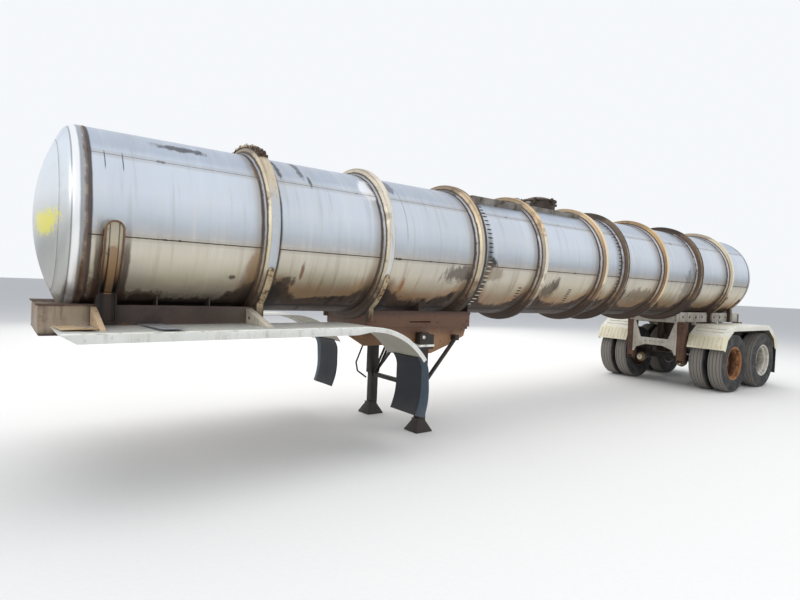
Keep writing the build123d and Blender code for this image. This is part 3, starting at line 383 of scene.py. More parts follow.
barrelPaintedLightTones = (
    # level on the barrel from bottom to top, tone; painted reflection and shade: bluish sky reflection towards the top,
    # warmer and darker towards the bottom
    (0.04, (120, 112, 104)), (0.15, (168, 150, 124)), (0.20, (182, 168, 142)), (0.28, (204, 196, 178)),
    (0.38, (202, 197, 184)), (0.42, (184, 184, 184)), (0.46, (192, 198, 204)), (0.52, (200, 208, 216)),
    (0.62, (212, 219, 228)), (0.80, (210, 218, 228)), (0.86, (182, 192, 206)), (1.0, (176, 187, 203)),
)
# the heads' tones by level: painted reflection and shade, paler and bluish towards the top, darker towards the bottom
headPaintedLightTones = (
    (0.04, (150, 146, 140)), (0.16, (176, 176, 172)), (0.34, (190, 192, 188)), (0.46, (204, 206, 204)),
    (0.60, (226, 231, 234)), (0.85, (226, 234, 242)), (1.0, (196, 208, 224)),
)
stainTable = (
    # station, height over the axis, half length, half height, tone, strength
    (0.72, 0.655, 0.25, 0.040, (52, 48, 48), 0.85),
    (0.055, -0.60, 0.06, 0.12, (78, 52, 36), 0.80),
    (0.42, -0.625, 0.22, 0.045, (70, 48, 34), 0.85),
    (1.40, 0.52, 0.05, 0.13, (122, 100, 80), 0.70),
    (1.36, -0.33, 0.09, 0.16, (150, 116, 80), 0.55),
    (1.16, -0.455, 0.055, 0.030, (66, 44, 30), 0.85),
    (1.62, 0.62, 0.030, 0.16, (48, 42, 40), 0.80),
    (1.70, -0.475, 0.12, 0.060, (48, 38, 32), 0.85),
    (1.83, -0.385, 0.022, 0.10, (120, 74, 42), 0.80),
    (1.865, 0.66, 0.035, 0.13, (74, 70, 72), 0.75),
    (1.935, 0.55, 0.022, 0.10, (66, 62, 62), 0.80),
    (2.61, 0.53, 0.085, 0.17, (238, 240, 242), 0.75),
    (2.95, 0.64, 0.06, 0.10, (58, 56, 58), 0.60),
    (3.08, -0.44, 0.028, 0.09, (150, 96, 52), 0.75),
    (3.96, -0.29, 0.40, 0.105, (92, 82, 74), 0.80),
    (4.10, -0.36, 0.13, 0.13, (58, 50, 46), 0.75),
    (4.36, -0.125, 0.10, 0.075, (34, 30, 28), 0.92),
    (4.44, -0.27, 0.16, 0.10, (134, 114, 92), 0.60),
    (5.62, -0.43, 0.15, 0.15, (94, 82, 70), 0.85),
    (5.70, -0.34, 0.05, 0.12, (90, 80, 68), 0.75),
    (7.95, -0.42, 0.42, 0.10, (110, 92, 72), 0.70),
    (9.30, -0.30, 0.18, 0.30, (96, 86, 76), 0.55),
    (9.505, 0.12, 0.022, 0.17, (244, 248, 250), 0.85),
    (9.80, -0.45, 0.09, 0.34, (32, 28, 27), 0.90),
    (9.44, -0.55, 0.07, 0.22, (36, 31, 29), 0.85),
    (7.42, -0.50, 0.05, 0.22, (38, 32, 30), 0.85),
    (6.60, -0.60, 0.06, 0.16, (40, 34, 30), 0.80),
)
seamTable = ((-0.1731, 0.92, 0.0068), (0.4826, 0.62, 0.0042))  # height over the axis, darkness, half width


def tankSteel():
    skin = Finish("tankSteel")
    lift, far, station = onTank(skin)
    lumps = skin.cloud(1.7, 5, 0.6, (1, 1.6, 1.6), 0.6) - 0.5
    fine = skin.cloud(9.0, 6, 0.65, (1.4, 0.6, 0.6)) - 0.5
    hoops = skin.cloud(3.0, 5, 0.6, (5.5, 0.30, 0.30)) - 0.5
    grit = skin.cloud(46, 4, 0.6) - 0.5
    depth = 0 - lift
    level = lift * (0.5 / tank["radius"]) + 0.5
    # painted reflection and shade: the base colour follows height, bluish above, warmer and darker below
    skin.colour = skin.ramp(level + lumps * 0.05 + hoops * 0.03, *barrelPaintedLightTones)
    # every sheet has its own tone, and faint hoops from rolling and wiping
    sheets = skin.cloud(1.0, 1, stretch=(0.75, 0.12, 0.12)) - 0.5
    skin.lay(skin.rise(sheets, -0.10, 0.14) * 0.20, (158, 160, 162))
    skin.lay(skin.rise(hoops, 0.02, 0.20) * 0.22, (150, 144, 136))
    skin.lay(skin.rise(hoops, -0.04, -0.22) * 0.20, (228, 228, 226))
    clouds = skin.rise(fine + lumps * 0.5, 0.0, 0.24)
    skin.lay(clouds * 0.22, (222, 216, 204))
    # road film below the middle seam runs down in streaks
    film = skin.rise(depth, 0.10, 0.55)
    skin.lay(skin.rise(hoops + fine * 0.4, 0.03, 0.20) * film * 0.50, (138, 114, 84))
    frontGap = nearest(station, [rear - width for rear, width, *_ in ringTable])
    rearGap = nearest(station, [rear for rear, *_ in ringTable])
    gap = frontGap.least(rearGap)
    near = skin.rise(gap, 0.40, 0.0)
    # the stain along the belly: a tan halo, then dark brown, then a painted grey reflection of the shaded ground
    # underneath; the first sheet gets painted light low down
    firstSheet = skin.rise(station, 1.5, 1.1)
    soaked = depth + lumps * 0.24 + hoops * 0.10 + fine * 0.08 + near * 0.13 - 0.055 - firstSheet * 0.030
    halo = skin.rise(soaked, 0.40, 0.56) * (1 - firstSheet * 0.55)
    skin.lay(halo * 0.62, (160, 120, 78))
    # painted light: the first sheet is lighter low down
    skin.lay(firstSheet * skin.rise(depth, 0.16, 0.40) * 0.45, (238, 232, 214))
    stain = skin.rise(soaked, 0.545, 0.590)
    skin.lay(stain * 0.94, (60, 45, 36))
    # painted reflection: grey of the shaded ground below the dark brown
    skin.lay(skin.rise(soaked + fine * 0.08, 0.665, 0.72) * 0.80, (92, 88, 86))
    crusts = skin.rise(fine + lumps * 0.4 + grit * 0.3, 0.06, 0.15) * stain
    skin.lay(crusts * 0.75, (30, 26, 25))
    skin.lay(skin.line(depth + lumps * 0.04 + fine * 0.02, 0.705, 0.016) * 0.75, (28, 25, 25))
    # brown creeps out ahead of each ring, black low down on both sides; the dark line behind each ring is its gap with
    # a painted shadow of the ring
    creep = skin.rise(frontGap + hoops * 0.16 + fine * 0.05 - film * 0.05, 0.13, 0.03)
    skin.lay(creep * (film * 0.35 + 0.42), (128, 104, 78))
    root = skin.rise(frontGap + fine * 0.025, 0.034, 0.014)
    skin.lay(root * 0.88, (62, 47, 38))
    # painted shadow: dark line behind each ring's rear edge, partly the gap at its foot
    heelGapAndShadow = skin.rise(rearGap + fine * 0.03, 0.030, 0.012)
    skin.lay(heelGapAndShadow * 0.85, (46, 40, 38))
    darkBesideRingsLow = skin.rise(gap + lumps * 0.22 + hoops * 0.12, 0.20, 0.05) * skin.rise(depth + fine * 0.25, 0.36, 0.60)
    skin.lay(darkBesideRingsLow * 0.90, (36, 30, 28))
    # black smears behind the third and eighth rings
    smeared = skin.rise(nearest(station, (4.300, 9.760)) + fine * 0.05, 0.075, 0.020)
    smear = smeared * skin.rise(depth + lumps * 0.3 + fine * 0.4, -0.55, 0.25)
    skin.lay(smear * 0.85, (44, 38, 36))
    marks = darkBesideRingsLow | creep * 0.5 | smear
    ragged = lumps * 1.5 + fine * 2.4 + grit * 0.6
    for place, high, halfLong, halfHigh, tone, strength in stainTable:
        blot = skin.blot(station, lift, (place, high), (halfLong, halfHigh), ragged) * strength
        skin.lay(blot, tone)
        marks = marks | blot
    # rust and soot run down both sides of the front saddles
    flank = skin.line(abs(station - saddle["middle"]) + fine * 0.030, 0.098, 0.036)
    skin.lay(flank * skin.rise(depth + fine * 0.3, 0.0, 0.35) * 0.80, (74, 52, 40))
    # weld seams, thicker in places, with their heat tint
    for seam, darkness, half in seamTable:
        skin.lay(skin.line(lift + fine * 0.02, seam, 0.040) * 0.22, (142, 122, 98))
        blobs = skin.rise(skin.cloud(5.5, 3, 0.6, (1, 0.2, 0.2)), 0.60, 0.68) * 0.010
        thread = abs(lift - seam + grit * 0.006) - blobs
        skin.lay(skin.rise(thread, half, half * 0.45) * darkness, (50, 42, 36))
    # a ghost of an old seam, upper half only, and two nicks behind the front joint
    ghost = skin.line(station + fine * 0.004, 3.035, 0.009) * skin.rise(lift, -0.05, 0.10)
    skin.lay(ghost * 0.45, (126, 130, 138))
    for place in (0.110, 0.240):
        nick = skin.line(station + fine * 0.006, place, 0.0055) * skin.line(lift, 0.43, 0.10)
        skin.lay(nick * 0.85, (70, 66, 64))
    # the heads: pale, with painted reflection and shade by height, brown towards their joints
    onHead = skin.rise(station, -0.006, -0.012)
    onTail = skin.rise(station, tank["length"] + 0.006, tank["length"] + 0.012)
    head = skin.mix(clouds * 0.25, skin.ramp(level, *headPaintedLightTones), (190, 194, 198))
    skin.lay(onHead | onTail, skin.mix(stain * onTail * 0.85, head, (84, 68, 54)))
    # painted highlight: a white band on the knuckle, then a painted darker blue-grey reflection band nearer the joint
    skin.lay(skin.line(station + fine * 0.010, -0.088, 0.034) * onHead * 0.75, (252, 252, 252))
    skin.lay(skin.line(station + fine * 0.012, -0.046, 0.022) * onHead * 0.70, (132, 134, 138))
    rim = skin.rise(fine * 0.030 - film * 0.020 - station, 0.040, 0.020) * onHead
    rust = skin.mix(skin.rise(fine + lumps, -0.05, 0.20), (92, 64, 46), (158, 122, 86))
    skin.lay(rim * 0.85, rust)
    joint = skin.rise(nearest(station, (0.004, tank["length"])) + fine * 0.010, 0.022, 0.010)
    skin.lay(joint * 0.92, (58, 43, 35))
    skin.lay(onHead * skin.rise(depth + fine * 0.3, 0.50, 0.72) * 0.5, (112, 94, 76))
    # painted shade: darker lines along the pressed creases
    for crease in headCreases:
        skin.lay(skin.line(far, crease, 0.0055) * onHead * 0.60, (96, 98, 102))
    # yellow paint rubbed on the head's left half
    rubbed = skin.blot(skin.y, lift, (0.42, -0.09), (0.27, 0.115), fine * 2.2 + grit * 1.6)
    rubbed = rubbed * skin.rise(station, -0.10, -0.14)
    skin.lay(rubbed * 0.80, (238, 228, 60))
    dulled = stain | marks | (root | heelGapAndShadow) | joint
    wobble = skin.cloud(1.2, 2, stretch=(1, 1.3, 1.3)) * 3 + skin.cloud(0.9, 1, stretch=(4.0, 0.3, 0.3)) * 0.8
    roughness = 0.34 + clouds * 0.10 + hoops * 0.10 + halo * 0.12 + dulled * 0.28
    skin.cover(roughness, 0.84 - halo * 0.20 - dulled * 0.50 - rubbed * 0.5, wobble + crusts * 0.10, 0.010, 0.5)


def ringSteel(number, rear, width, slopeTone, faceTone, crestTone, sooty, stitched):
    steel = Finish(f"ringSteel_{number}")
    lift, _, station = onTank(steel)
    height = lift / tank["radius"]
    fine = steel.cloud(13, 6, 0.65) - 0.5
    lumps = steel.cloud(2.6, 4, 0.6) - 0.5
    hoops = steel.cloud(2.5, 4, 0.6, (9, 1, 1)) - 0.5
    # across runs from 0 at the rear foot to 1 at the front foot
    across = (rear - station) / width
    fold = hoop["slope"] / width
    upper = steel.rise(height + lumps * 0.3, 0.20, 0.70)
    face = steel.mix(upper, faceTone, crestTone)
    slope = steel.mix(upper * 0.6, slopeTone, crestTone)
    steel.colour = steel.mix(steel.rise(across, 0.97 - fold, 1.03 - fold), face, slope)
    # painted shade: the rear slope is darker
    steel.lay(steel.rise(across, fold + 0.04, fold - 0.04) * 0.75, (96, 84, 74))
    steel.lay(steel.rise(hoops, 0.03, 0.16) * 0.35, (140, 130, 116))
    steel.lay(steel.rise(fine, 0.02, 0.22) * 0.28, (236, 230, 216))
    steel.lay(steel.line(across + fine * 0.04, 1 - fold, 0.030) * 0.35, (116, 98, 78))
    # low on the slope the barrel's tones, painted reflection and shade included, come up to the weld
    ahead = steel.rise(across + fine * 0.05, 1 - fold * 0.50, 1 - fold * 0.38)
    barrel = steel.ramp(height * 0.5 + 0.5 + lumps * 0.05, *barrelPaintedLightTones)
    steel.lay(ahead * 0.90, steel.mix(0.30, barrel, (110, 100, 90)))
    soiled = steel.rise(fine * 0.8 + lumps * 0.9 + sooty * 0.22, 0.16, 0.30) * (sooty * 0.5 + 0.25)
    steel.lay(soiled, (92, 78, 66))
    roof = steel.rise(height + lumps * 0.35 + fine * 0.2, 0.84, 0.97) * sooty
    steel.lay(roof, (52, 45, 41))
    brown = steel.rise(lumps * 0.7 + fine * 0.3 + sooty * 0.10 - height, 0.44, 0.68)
    steel.lay(brown * 0.72, (112, 84, 58))
    black = steel.rise(lumps * 0.5 + fine * 0.5 + sooty * 0.12 - height, 0.66, 0.86)
    steel.lay(black * 0.85, (36, 30, 28))
    toe = steel.line(across + fine * 0.06, 1 - fold * 0.46, 0.040) | steel.rise(across + fine * 0.08, 0.955, 0.985)
    steel.lay(toe * 0.88, (74, 55, 42))
    # dark line at the rear foot: partly the gap, partly painted shadow
    steel.lay(steel.rise(across + fine * 0.07, 0.09, 0.02) * 0.85, (42, 36, 34))
    dulled = soiled | roof | black | toe * 0.6
    if stitched:
        band = steel.rise(across + fine * 0.10, 0.58, 0.50) * (1 - steel.rise(height + lumps * 0.2, 0.70, 0.95) * 0.3)
        steel.lay(band * 0.90, (38, 33, 31))
        dulled = dulled | band * 0.8
    metallic = 0.60 - brown * 0.2 - dulled * 0.38 - ahead * 0.20
    steel.cover(0.42 + fine * 0.25 + dulled * 0.32, metallic, fine + lumps - dulled * 0.3, 0.0014, 0.5)


def wornPaint(name, paint, second, rust, amount, dust, rough=0.62, metal=0.0, scale=1.0, zones=()):
    # old paint over steel: patches of a second tone, rust that eats in, dust on what faces up;
    # each zone is an axis, where its tone starts and is full along it, the tone and its strength
    coat = Finish(name)
    patch = coat.cloud(1.9 * scale, 4, 0.6)
    fine = coat.cloud(17 * scale, 6, 0.68)
    runs = coat.cloud(2.4 * scale, 5, 0.62, (4.5, 4.5, 0.5))
    coat.colour = coat.mix(coat.rise(patch + (fine - 0.5) * 0.3, 0.42, 0.62), paint, second)
    coat.lay(coat.rise(runs, 0.47, 0.7) * 0.45, (44, 34, 28))
    for zone in zones:
        coat.zone(*zone, (patch - 0.5) * 1.5 + (fine - 0.5))
    eaten = coat.rise(fine * 0.6 + patch * 0.5 + (runs - 0.5) * 0.25, 0.74 - amount * 0.3, 0.80 - amount * 0.3)
    coat.lay(eaten * 0.85, coat.mix(coat.rise(coat.cloud(40 * scale, 4, 0.6), 0.4, 0.65), rust, (58, 36, 26)))
    settled = coat.rise(coat.facing(), 0.5, 0.95) * coat.rise(coat.cloud(7, 4), 0.3, 0.7)
    coat.lay(settled * dust, (186, 176, 160))
    roughness = rough + eaten * 0.25 + (fine - 0.5) * 0.15
    coat.cover(roughness, metal - eaten * metal, fine * 0.5 - eaten * 0.6, 0.0012, 0.6)


def saddleSteel():
    # plate that takes the barrel's tones, in a channel with dark walls
    steel = Finish("saddleSteel")
    lift, far, station = onTank(steel)
    fine = steel.cloud(17, 6, 0.66) - 0.5
    lumps = steel.cloud(4.5, 4, 0.6) - 0.5
    depth = 0 - (lift + lumps * 0.10 + fine * 0.05)
    steel.colour = steel.ramp(
        depth, (0.05, (178, 170, 152)), (0.22, (186, 176, 154)), (0.38, (170, 146, 112)),
        (0.48, (140, 108, 76)), (0.56, (48, 38, 32)), (0.80, (30, 26, 24)),
    )
    blots = steel.rise(fine + lumps * 0.7, 0.08, 0.22)
    steel.lay(blots * 0.55, (92, 68, 48))
    proud = far - tank["radius"]
    tongue = steel.rise(proud, 0.010, 0.013) * steel.line(station, saddle["middle"], 0.040)
    steel.lay(tongue * 0.80, (146, 116, 84))
    edge = steel.line(abs(station - saddle["middle"]) + fine * 0.006, 0.033, 0.007)
    steel.lay(edge * steel.rise(proud, 0.006, 0.010) * 0.85, (46, 34, 28))
    wall = steel.rise(proud + fine * 0.003, 0.0265, 0.0290)
    steel.lay(wall * 0.92, steel.ramp(depth, (0.10, (108, 74, 50)), (0.34, (78, 52, 38)), (0.50, (36, 29, 27))))
    roughness = 0.45 + wall * 0.25 + blots * 0.2
    steel.cover(roughness, 0.55 - wall * 0.45 - blots * 0.3, fine - blots * 0.3, 0.0012, 0.6)


def sheetAluminium(name, tone, shadow, soil, zones=()):
    # thin bright sheet gone chalky, streaked below, greyer on faces that point down
    sheet = Finish(name)
    film = sheet.cloud(3.2, 5, 0.62, (1, 1, 0.6))
    fine = sheet.cloud(24, 5, 0.65)
    runs = sheet.cloud(5, 5, 0.6, (3.2, 3.2, 0.35))
    sheet.colour = sheet.mix(sheet.rise(film, 0.35, 0.7) * 0.5, tone, shadow)
    for zone in zones:
        sheet.zone(*zone, film - 0.5)
    sheet.lay(sheet.rise(runs, 0.52, 0.7) * 0.35, soil)
    sheet.lay(sheet.rise(fine, 0.58, 0.7) * 0.22, (96, 88, 78))
    # darker and greyer on faces that point down
    under = sheet.rise(sheet.facing(), -0.1, -0.7)
    sheet.lay(under * 0.80, (150, 144, 126))
    sheet.cover(0.42 + (film - 0.5) * 0.25 + under * 0.3, 0.45 - under * 0.35, film * 2.5 + fine * 0.12, 0.004, 0.45)


def tyreRubber(name, centre):
    # pattern is centred on the axle, so sidewall marks run round the tyre
    rubber = Finish(name)
    x, z = rubber.x - centre[0], rubber.z - centre[2]
    far = (x * x + z * z).root()
    fine = rubber.cloud(60, 5, 0.65)
    patch = rubber.cloud(5, 4, 0.6)
    rubber.colour = rubber.mix(rubber.rise(patch, 0.35, 0.7), (42, 43, 46), (58, 57, 56))
    tread = rubber.rise(far, 0.492, 0.518)
    rubber.lay(tread * 0.85, (136, 131, 124))
    rubber.lay(tread * rubber.rise(far, 0.5195, 0.5165) * 0.7, (36, 36, 38))
    rubber.lay(rubber.rise(fine * 0.5 + patch * 0.6, 0.5, 0.72) * 0.25, (134, 126, 116))
    fins = rubber.rise((x.math("ARCTAN2", z, x) * 190).wave(), -0.2, 0.5) * rubber.line(far, 0.486, 0.014)
    bands = (far * 900).wave() * rubber.line(far, 0.40, 0.05)
    rubber.cover(0.82 + (fine - 0.5) * 0.15, 0.0, fine * 0.25 + fins * 0.8 + bands * 0.25, 0.0025, 0.7)


def flapRubber():
    rubber = Finish("flapRubber")
    fine = rubber.cloud(70, 4, 0.6)
    film = rubber.cloud(3, 5, 0.6, (1, 1.6, 0.5))
    rubber.colour = rubber.mix(rubber.rise(film, 0.4, 0.75), (20, 24, 34), (32, 36, 44))
    # painted highlight: a paler blue-grey strip where the outer edge curls back
    strip = rubber.rise(abs(rubber.y) + (film - 0.5) * 0.03, 1.095, 1.115) * rubber.rise(rubber.x, 2.0, 2.2)
    rubber.lay(strip * 0.75, (72, 88, 102))
    rubber.lay(rubber.rise(rubber.z + (film - 0.5) * 0.3, 0.55, 0.30) * 0.22, (112, 106, 98))
    ribs = (rubber.y * 420).wave()
    rubber.cover(0.62 + (film - 0.5) * 0.3, 0.0, ribs * 0.5 + fine * 0.3, 0.0012, 0.5)


def plainGlass(name, tone):
    lens = Finish(name)
    cells = lens.node("TexVoronoi", {}, {"Vector": lens.place, "Scale": 160.0})
    lens.colour = lens.mix(lens.rise(lens.cloud(30, 4), 0.45, 0.75) * 0.4, tone, (150, 138, 124))
    lens.cover(0.18, 0.0, cells, 0.001, 0.4)


strapMiddles = (4.491, 3.188, -4.868, -5.733)
paintTable = (
    # name, paint, second tone, rust, amount of rust, dust, roughness, metal, scale, zones
    ("stitchBlack", (34, 30, 28), (52, 44, 38), (80, 56, 40), 0.2, 0.1, 0.6),
    ("stitchMixed", (36, 31, 29), (52, 44, 38), (80, 56, 40), 0.2, 0.0, 0.5, 0.0, 1.0,
        [(2, 2.10, 1.96, (206, 194, 168), 0.9)]),
    ("driedCrust", (206, 190, 166), (150, 124, 98), (64, 46, 36), 0.75, 0.3, 0.85, 0.0, 3.0,
        [(1, 0.20, 0.30, (46, 37, 33), 0.85)]),
    ("looseTin", (206, 210, 216), (176, 180, 186), (140, 120, 100), 0.2, 0.1, 0.4, 0.6),
    ("tanPatch", (200, 174, 138), (172, 142, 108), (110, 72, 46), 0.4, 0.1, 0.7),
    ("strapRust", (186, 168, 136), (150, 120, 88), (92, 60, 40), 0.62, 0.0, 0.6, 0.2, 2.0,
        [(2, 1.56, 1.40, (74, 56, 44), 0.75)]),
    ("bolsterTan", (158, 142, 122), (136, 118, 100), (92, 60, 42), 0.34, 0.2, 0.7, 0.0, 1.6,
        [(2, 1.440, 1.452, (66, 46, 36), 0.88), (0, 5.93, 5.88, (86, 64, 50), 0.6)]),
    ("frameBrown", (64, 50, 43), (46, 37, 33), (92, 62, 44), 0.3, 0.15, 0.62, 0.0, 1.0,
        [(0, 5.00, 4.55, (94, 82, 72), 0.7)]),
    ("skirtRust", (70, 50, 42), (50, 38, 33), (112, 72, 50), 0.36, 0.15, 0.62, 0.0, 1.0,
        [(2, 1.42, 1.33, (112, 80, 60), 0.65), (2, 1.20, 1.06, (158, 120, 86), 0.75)]),
    ("legBlack", (42, 34, 30), (32, 27, 25), (74, 50, 38), 0.3, 0.15, 0.55),
    ("paleGrey", (186, 180, 168), (164, 156, 142), (122, 84, 56), 0.3, 0.2, 0.6),
    ("creamBracket", (206, 198, 182), (184, 174, 156), (128, 84, 56), 0.34, 0.2, 0.6, 0.0, 1.0,
        [(0, 5.0, 5.6, (204, 166, 118), 0.6)]),
    ("hangerRust", (98, 70, 52), (70, 52, 42), (116, 76, 52), 0.42, 0.15, 0.75),
    ("axleDark", (50, 44, 40), (38, 34, 32), (92, 62, 44), 0.35, 0.3, 0.7),
    ("springDark", (64, 54, 48), (46, 40, 36), (112, 70, 46), 0.5, 0.3, 0.65),
    ("chamberDark", (70, 60, 50), (54, 46, 40), (110, 76, 52), 0.35, 0.2, 0.6, 0.0, 1.0,
        [(0, -4.000, -3.985, (150, 134, 98), 0.6)]),
    ("chamberFace", (226, 218, 196), (196, 184, 150), (130, 96, 60), 0.2, 0.0, 0.5),
    # painted shade: the rusty wheels darken deeper in the dish, towards the disc
    ("wheelRust", (172, 122, 74), (146, 98, 60), (96, 62, 42), 0.42, 0.0, 0.7, 0.0, 1.0,
        [(1, 1.150, 1.030, (60, 44, 36), 0.90)]),
    # painted shade: the white wheels turn grey deeper in the dish, towards the disc
    ("wheelWhite", (216, 212, 202), (190, 184, 170), (110, 80, 58), 0.30, 0.0, 0.5, 0.0, 1.0,
        [(1, 1.120, 1.000, (112, 106, 94), 0.85)]),
    ("hubDark", (92, 70, 54), (66, 54, 46), (120, 74, 46), 0.5, 0.2, 0.6),
    ("fenderBright", (236, 236, 228), (222, 220, 210), (150, 128, 100), 0.1, 0.0, 0.45),
    ("ribShade", (176, 172, 156), (196, 190, 170), (140, 120, 96), 0.1, 0.2, 0.5),
    ("fittingSteel", (172, 168, 160), (140, 134, 124), (96, 74, 56), 0.3, 0.2, 0.42, 0.6),
    ("lidStained", (104, 94, 84), (70, 60, 52), (60, 44, 34), 0.5, 0.2, 0.5, 0.4),
    ("kerbGrey", (134, 130, 124), (104, 98, 90), (70, 54, 42), 0.45, 0.2, 0.5, 0.4),
)
tankSteel()
for number, row in enumerate(ringTable):
    ringSteel(number + 1, *row)
saddleSteel()
for row in paintTable:
    wornPaint(*row)
straps = finishes["strapRust"]
straps.lay(straps.rise(nearest(straps.x, strapMiddles), 0.026, 0.033) * 0.85, (54, 41, 34))
straps.give("Base Color", straps.colour)
sheetAluminium("fenderSheet", (222, 223, 218), (198, 198, 190), (160, 150, 132))
sheetAluminium(
    "fenderCream", (234, 232, 220), (214, 210, 194), (170, 152, 124), [(2, 1.04, 1.00, (230, 222, 192), 0.85)]
)
sheetAluminium("ladderAluminium", (196, 196, 192), (168, 166, 160), (120, 110, 96))
flapRubber()
plainGlass("lensRed", (150, 18, 14))
plainGlass("lensAmber", (196, 104, 16))
print("stage 2: finishes made")


# Tank


def headLine():
    # half section of the dished head, from its middle to the flange
    knuckleAt = tank["radius"] - tank["knuckle"]
    crownAt = tank["flange"] - sqrt((tank["crown"] - tank["knuckle"]) ** 2 - knuckleAt**2)
    swing = atan2(knuckleAt, tank["flange"] - crownAt)
    crown = arcPoints((crownAt, 0), tank["crown"], 0, swing, 16)
    knuckle = arcPoints((tank["flange"], knuckleAt), tank["knuckle"], swing, pi / 2, 10)
    return crown + knuckle[1:]


def creased(line):
    # presses a shallow ring into the head at each crease
    half, sunk = 0.005, 0.0026
    for crease in headCreases:
        line = [(x, r) for x, r in line if abs(r - crease) > half + 0.001]
        after = next(i for i, (x, r) in enumerate(line) if r > crease)
        (x0, r0), (x1, r1) = line[after - 1], line[after]
        groove = []
        for step, depth in ((-half, 0), (0, sunk), (half, 0)):
            share = (crease + step - r0) / (r1 - r0)
            groove.append((x0 + (x1 - x0) * share - depth, crease + step))
        line = line[:after] + groove + line[after:]
    return line


def makeTank():
    line = headLine()
    weld = [(0.009, 0), (0.005, 0.0022), (-0.005, 0.0022), (-0.009, 0)]
    profile = [*creased(line), *[(x, tank["radius"] + lift) for x, lift in weld]]
    for rear, width, *_ in ringTable:
        profile.append((-(rear - width / 2), tank["radius"]))
    rearWeld = [(-tank["length"] + x, tank["radius"] + lift) for x, lift in weld]
    rearLine = [(-tank["length"] - x, r) for x, r in reversed(line)]
    profile += [*rearWeld, *rearLine]
    stands = ["tank_barrel", "front_head", "rear_head"]
    finishPiece("tankShell", onAxis(profile), "tankSteel", stands=stands, smooth=40)


def makeRings():
    top = tank["radius"] + hoop["height"]
    foot = tank["radius"] + hoop["gap"]
    crest = top - 0.001
    fold = hoop["slope"]
    for index, (rear, width, *_) in enumerate(ringTable):
        front = -rear + width
        back = -rear
        bm = onAxis([
            (back - 0.006, foot), (back - 0.006, foot + 0.003), (back + 0.002, foot + 0.005), (back + fold, crest),
            (back + width / 2, top), (front - fold, crest), (front - 0.002, foot + 0.005),
            (front + 0.006, foot + 0.003), (front + 0.006, foot),
        ], closed=True)
        crests = [
            e for e in bm.edges
            if all(abs(hypot(v.co.y, v.co.z - axisHeight) - crest) < 0.0003 for v in e.verts)
            and abs(e.verts[0].co.x - e.verts[1].co.x) < 0.001
        ]
        softenEdges(bm, hoop["round"], edges=crests, segments=3)
        stands = [] if index else ["ring_stiffeners"]
        finishPiece(f"ring_{index + 1}", bm, f"ringSteel_{index + 1}", stands=stands, smooth=40)
    for number, ahead, finish in stitchTable:
        makeStitches(number, -ringTable[number - 1][0] + ahead, tank["radius"] + stitches["lift"], finish)


stitches = {"count": 84, "lift": 0.001, "long": 0.056, "high": 0.0075, "wide": 0.0095}
stitchTable = (
    # ring, place ahead of its rear edge, finish
    (3, -0.112, "stitchMixed"),
    (6, 0.162, "stitchBlack"),
    (8, -0.106, "stitchBlack"),
)
tickRows = (
    # short beads up the barrel's left side: station and height over the axis
    ((5.087, -0.654), (5.014, -0.527), (5.011, -0.418)),
    ((6.125, -0.604), (6.070, -0.499), (6.070, -0.410)),
)
crust = {"from": -36.0, "turn": 54.0, "steps": 110, "columns": 26, "high": 0.030, "skin": 0.003}


def addStitch(bm, x, radius, angle, size):
    place = (
        shift(axisAt) @ Matrix.Rotation(angle, 4, "X") @ shift((x, 0, radius))
        @ Matrix.Diagonal((stitches["long"] * size, stitches["wide"], stitches["high"] * size, 1))
    )
    bmesh.ops.create_uvsphere(bm, u_segments=6, v_segments=4, radius=1, matrix=place)


def makeStitches(number, x, radius, finish):
    # short weld beads side by side round a ring
    bm = bmesh.new()
    for index in range(stitches["count"]):
        wander = noise.noise(Vector((index * 0.7, number, 0)))
        size = 0.75 + 0.6 * abs(noise.noise(Vector((number, index * 1.3, 2))))
        addStitch(bm, x, radius, 2 * pi * (index + wander * 0.25) / stitches["count"], size)
    finishPiece(f"ring_{number}_stitches", bm, finish, smooth=60)


def makeTicks():
    bm = bmesh.new()
    for low, bend, high in tickRows:
        for index in range(7):
            share = index / 3
            start, end = (low, bend) if share < 1 else (bend, high)
            share -= share >= 1
            station = start[0] + (end[0] - start[0]) * share
            lift = start[1] + (end[1] - start[1]) * share
            addStitch(bm, -station, tank["radius"], -acos(lift / tank["radius"]), 0.8 + 0.04 * (index % 3))
    finishPiece("barrel_ticks", bm, "stitchBlack", smooth=60)


def makeCrust():
    # a dried spill heaped on top of the first ring
    rear, width = ringTable[0][:2]
    top = tank["radius"] + hoop["height"] - 0.001
    span = width - 2 * hoop["slope"] + 0.016
    bm = bmesh.new()
    start = -rear + hoop["slope"] - 0.004
    columns = crust["columns"]
    verts = [bm.verts.new((start + span * i / columns, 0, axisHeight + top)) for i in range(columns + 1)]
    edges = [bm.edges.new(pair) for pair in pairs(verts)]
    move(bm, about(axisAt, Matrix.Rotation(radians(crust["from"]), 4, "X")))
    bmesh.ops.spin(
        bm, geom=verts + edges, cent=axisAt, axis=(1, 0, 0), angle=radians(crust["turn"]), steps=crust["steps"],
        use_merge=False, use_duplicate=False,
    )
    rims = {v for v in bm.verts if v.is_boundary}
    for v in bm.verts:
        outward = Vector((0, v.co.y, v.co.z - axisHeight)).normalized()
        heap = 0.35 + 0.9 * noise.noise(v.co * 19) + 0.6 * noise.noise(v.co * 70)
        v.co += outward * (-0.006 if v in rims else max(-0.003, crust["high"] * heap))
    thicken(bm, crust["skin"])
    finishPiece("ring_1_crust", bm, "driedCrust", smooth=50)


makeTank()
makeRings()
makeTicks()
makeCrust()
print("stage 3: tank and rings")

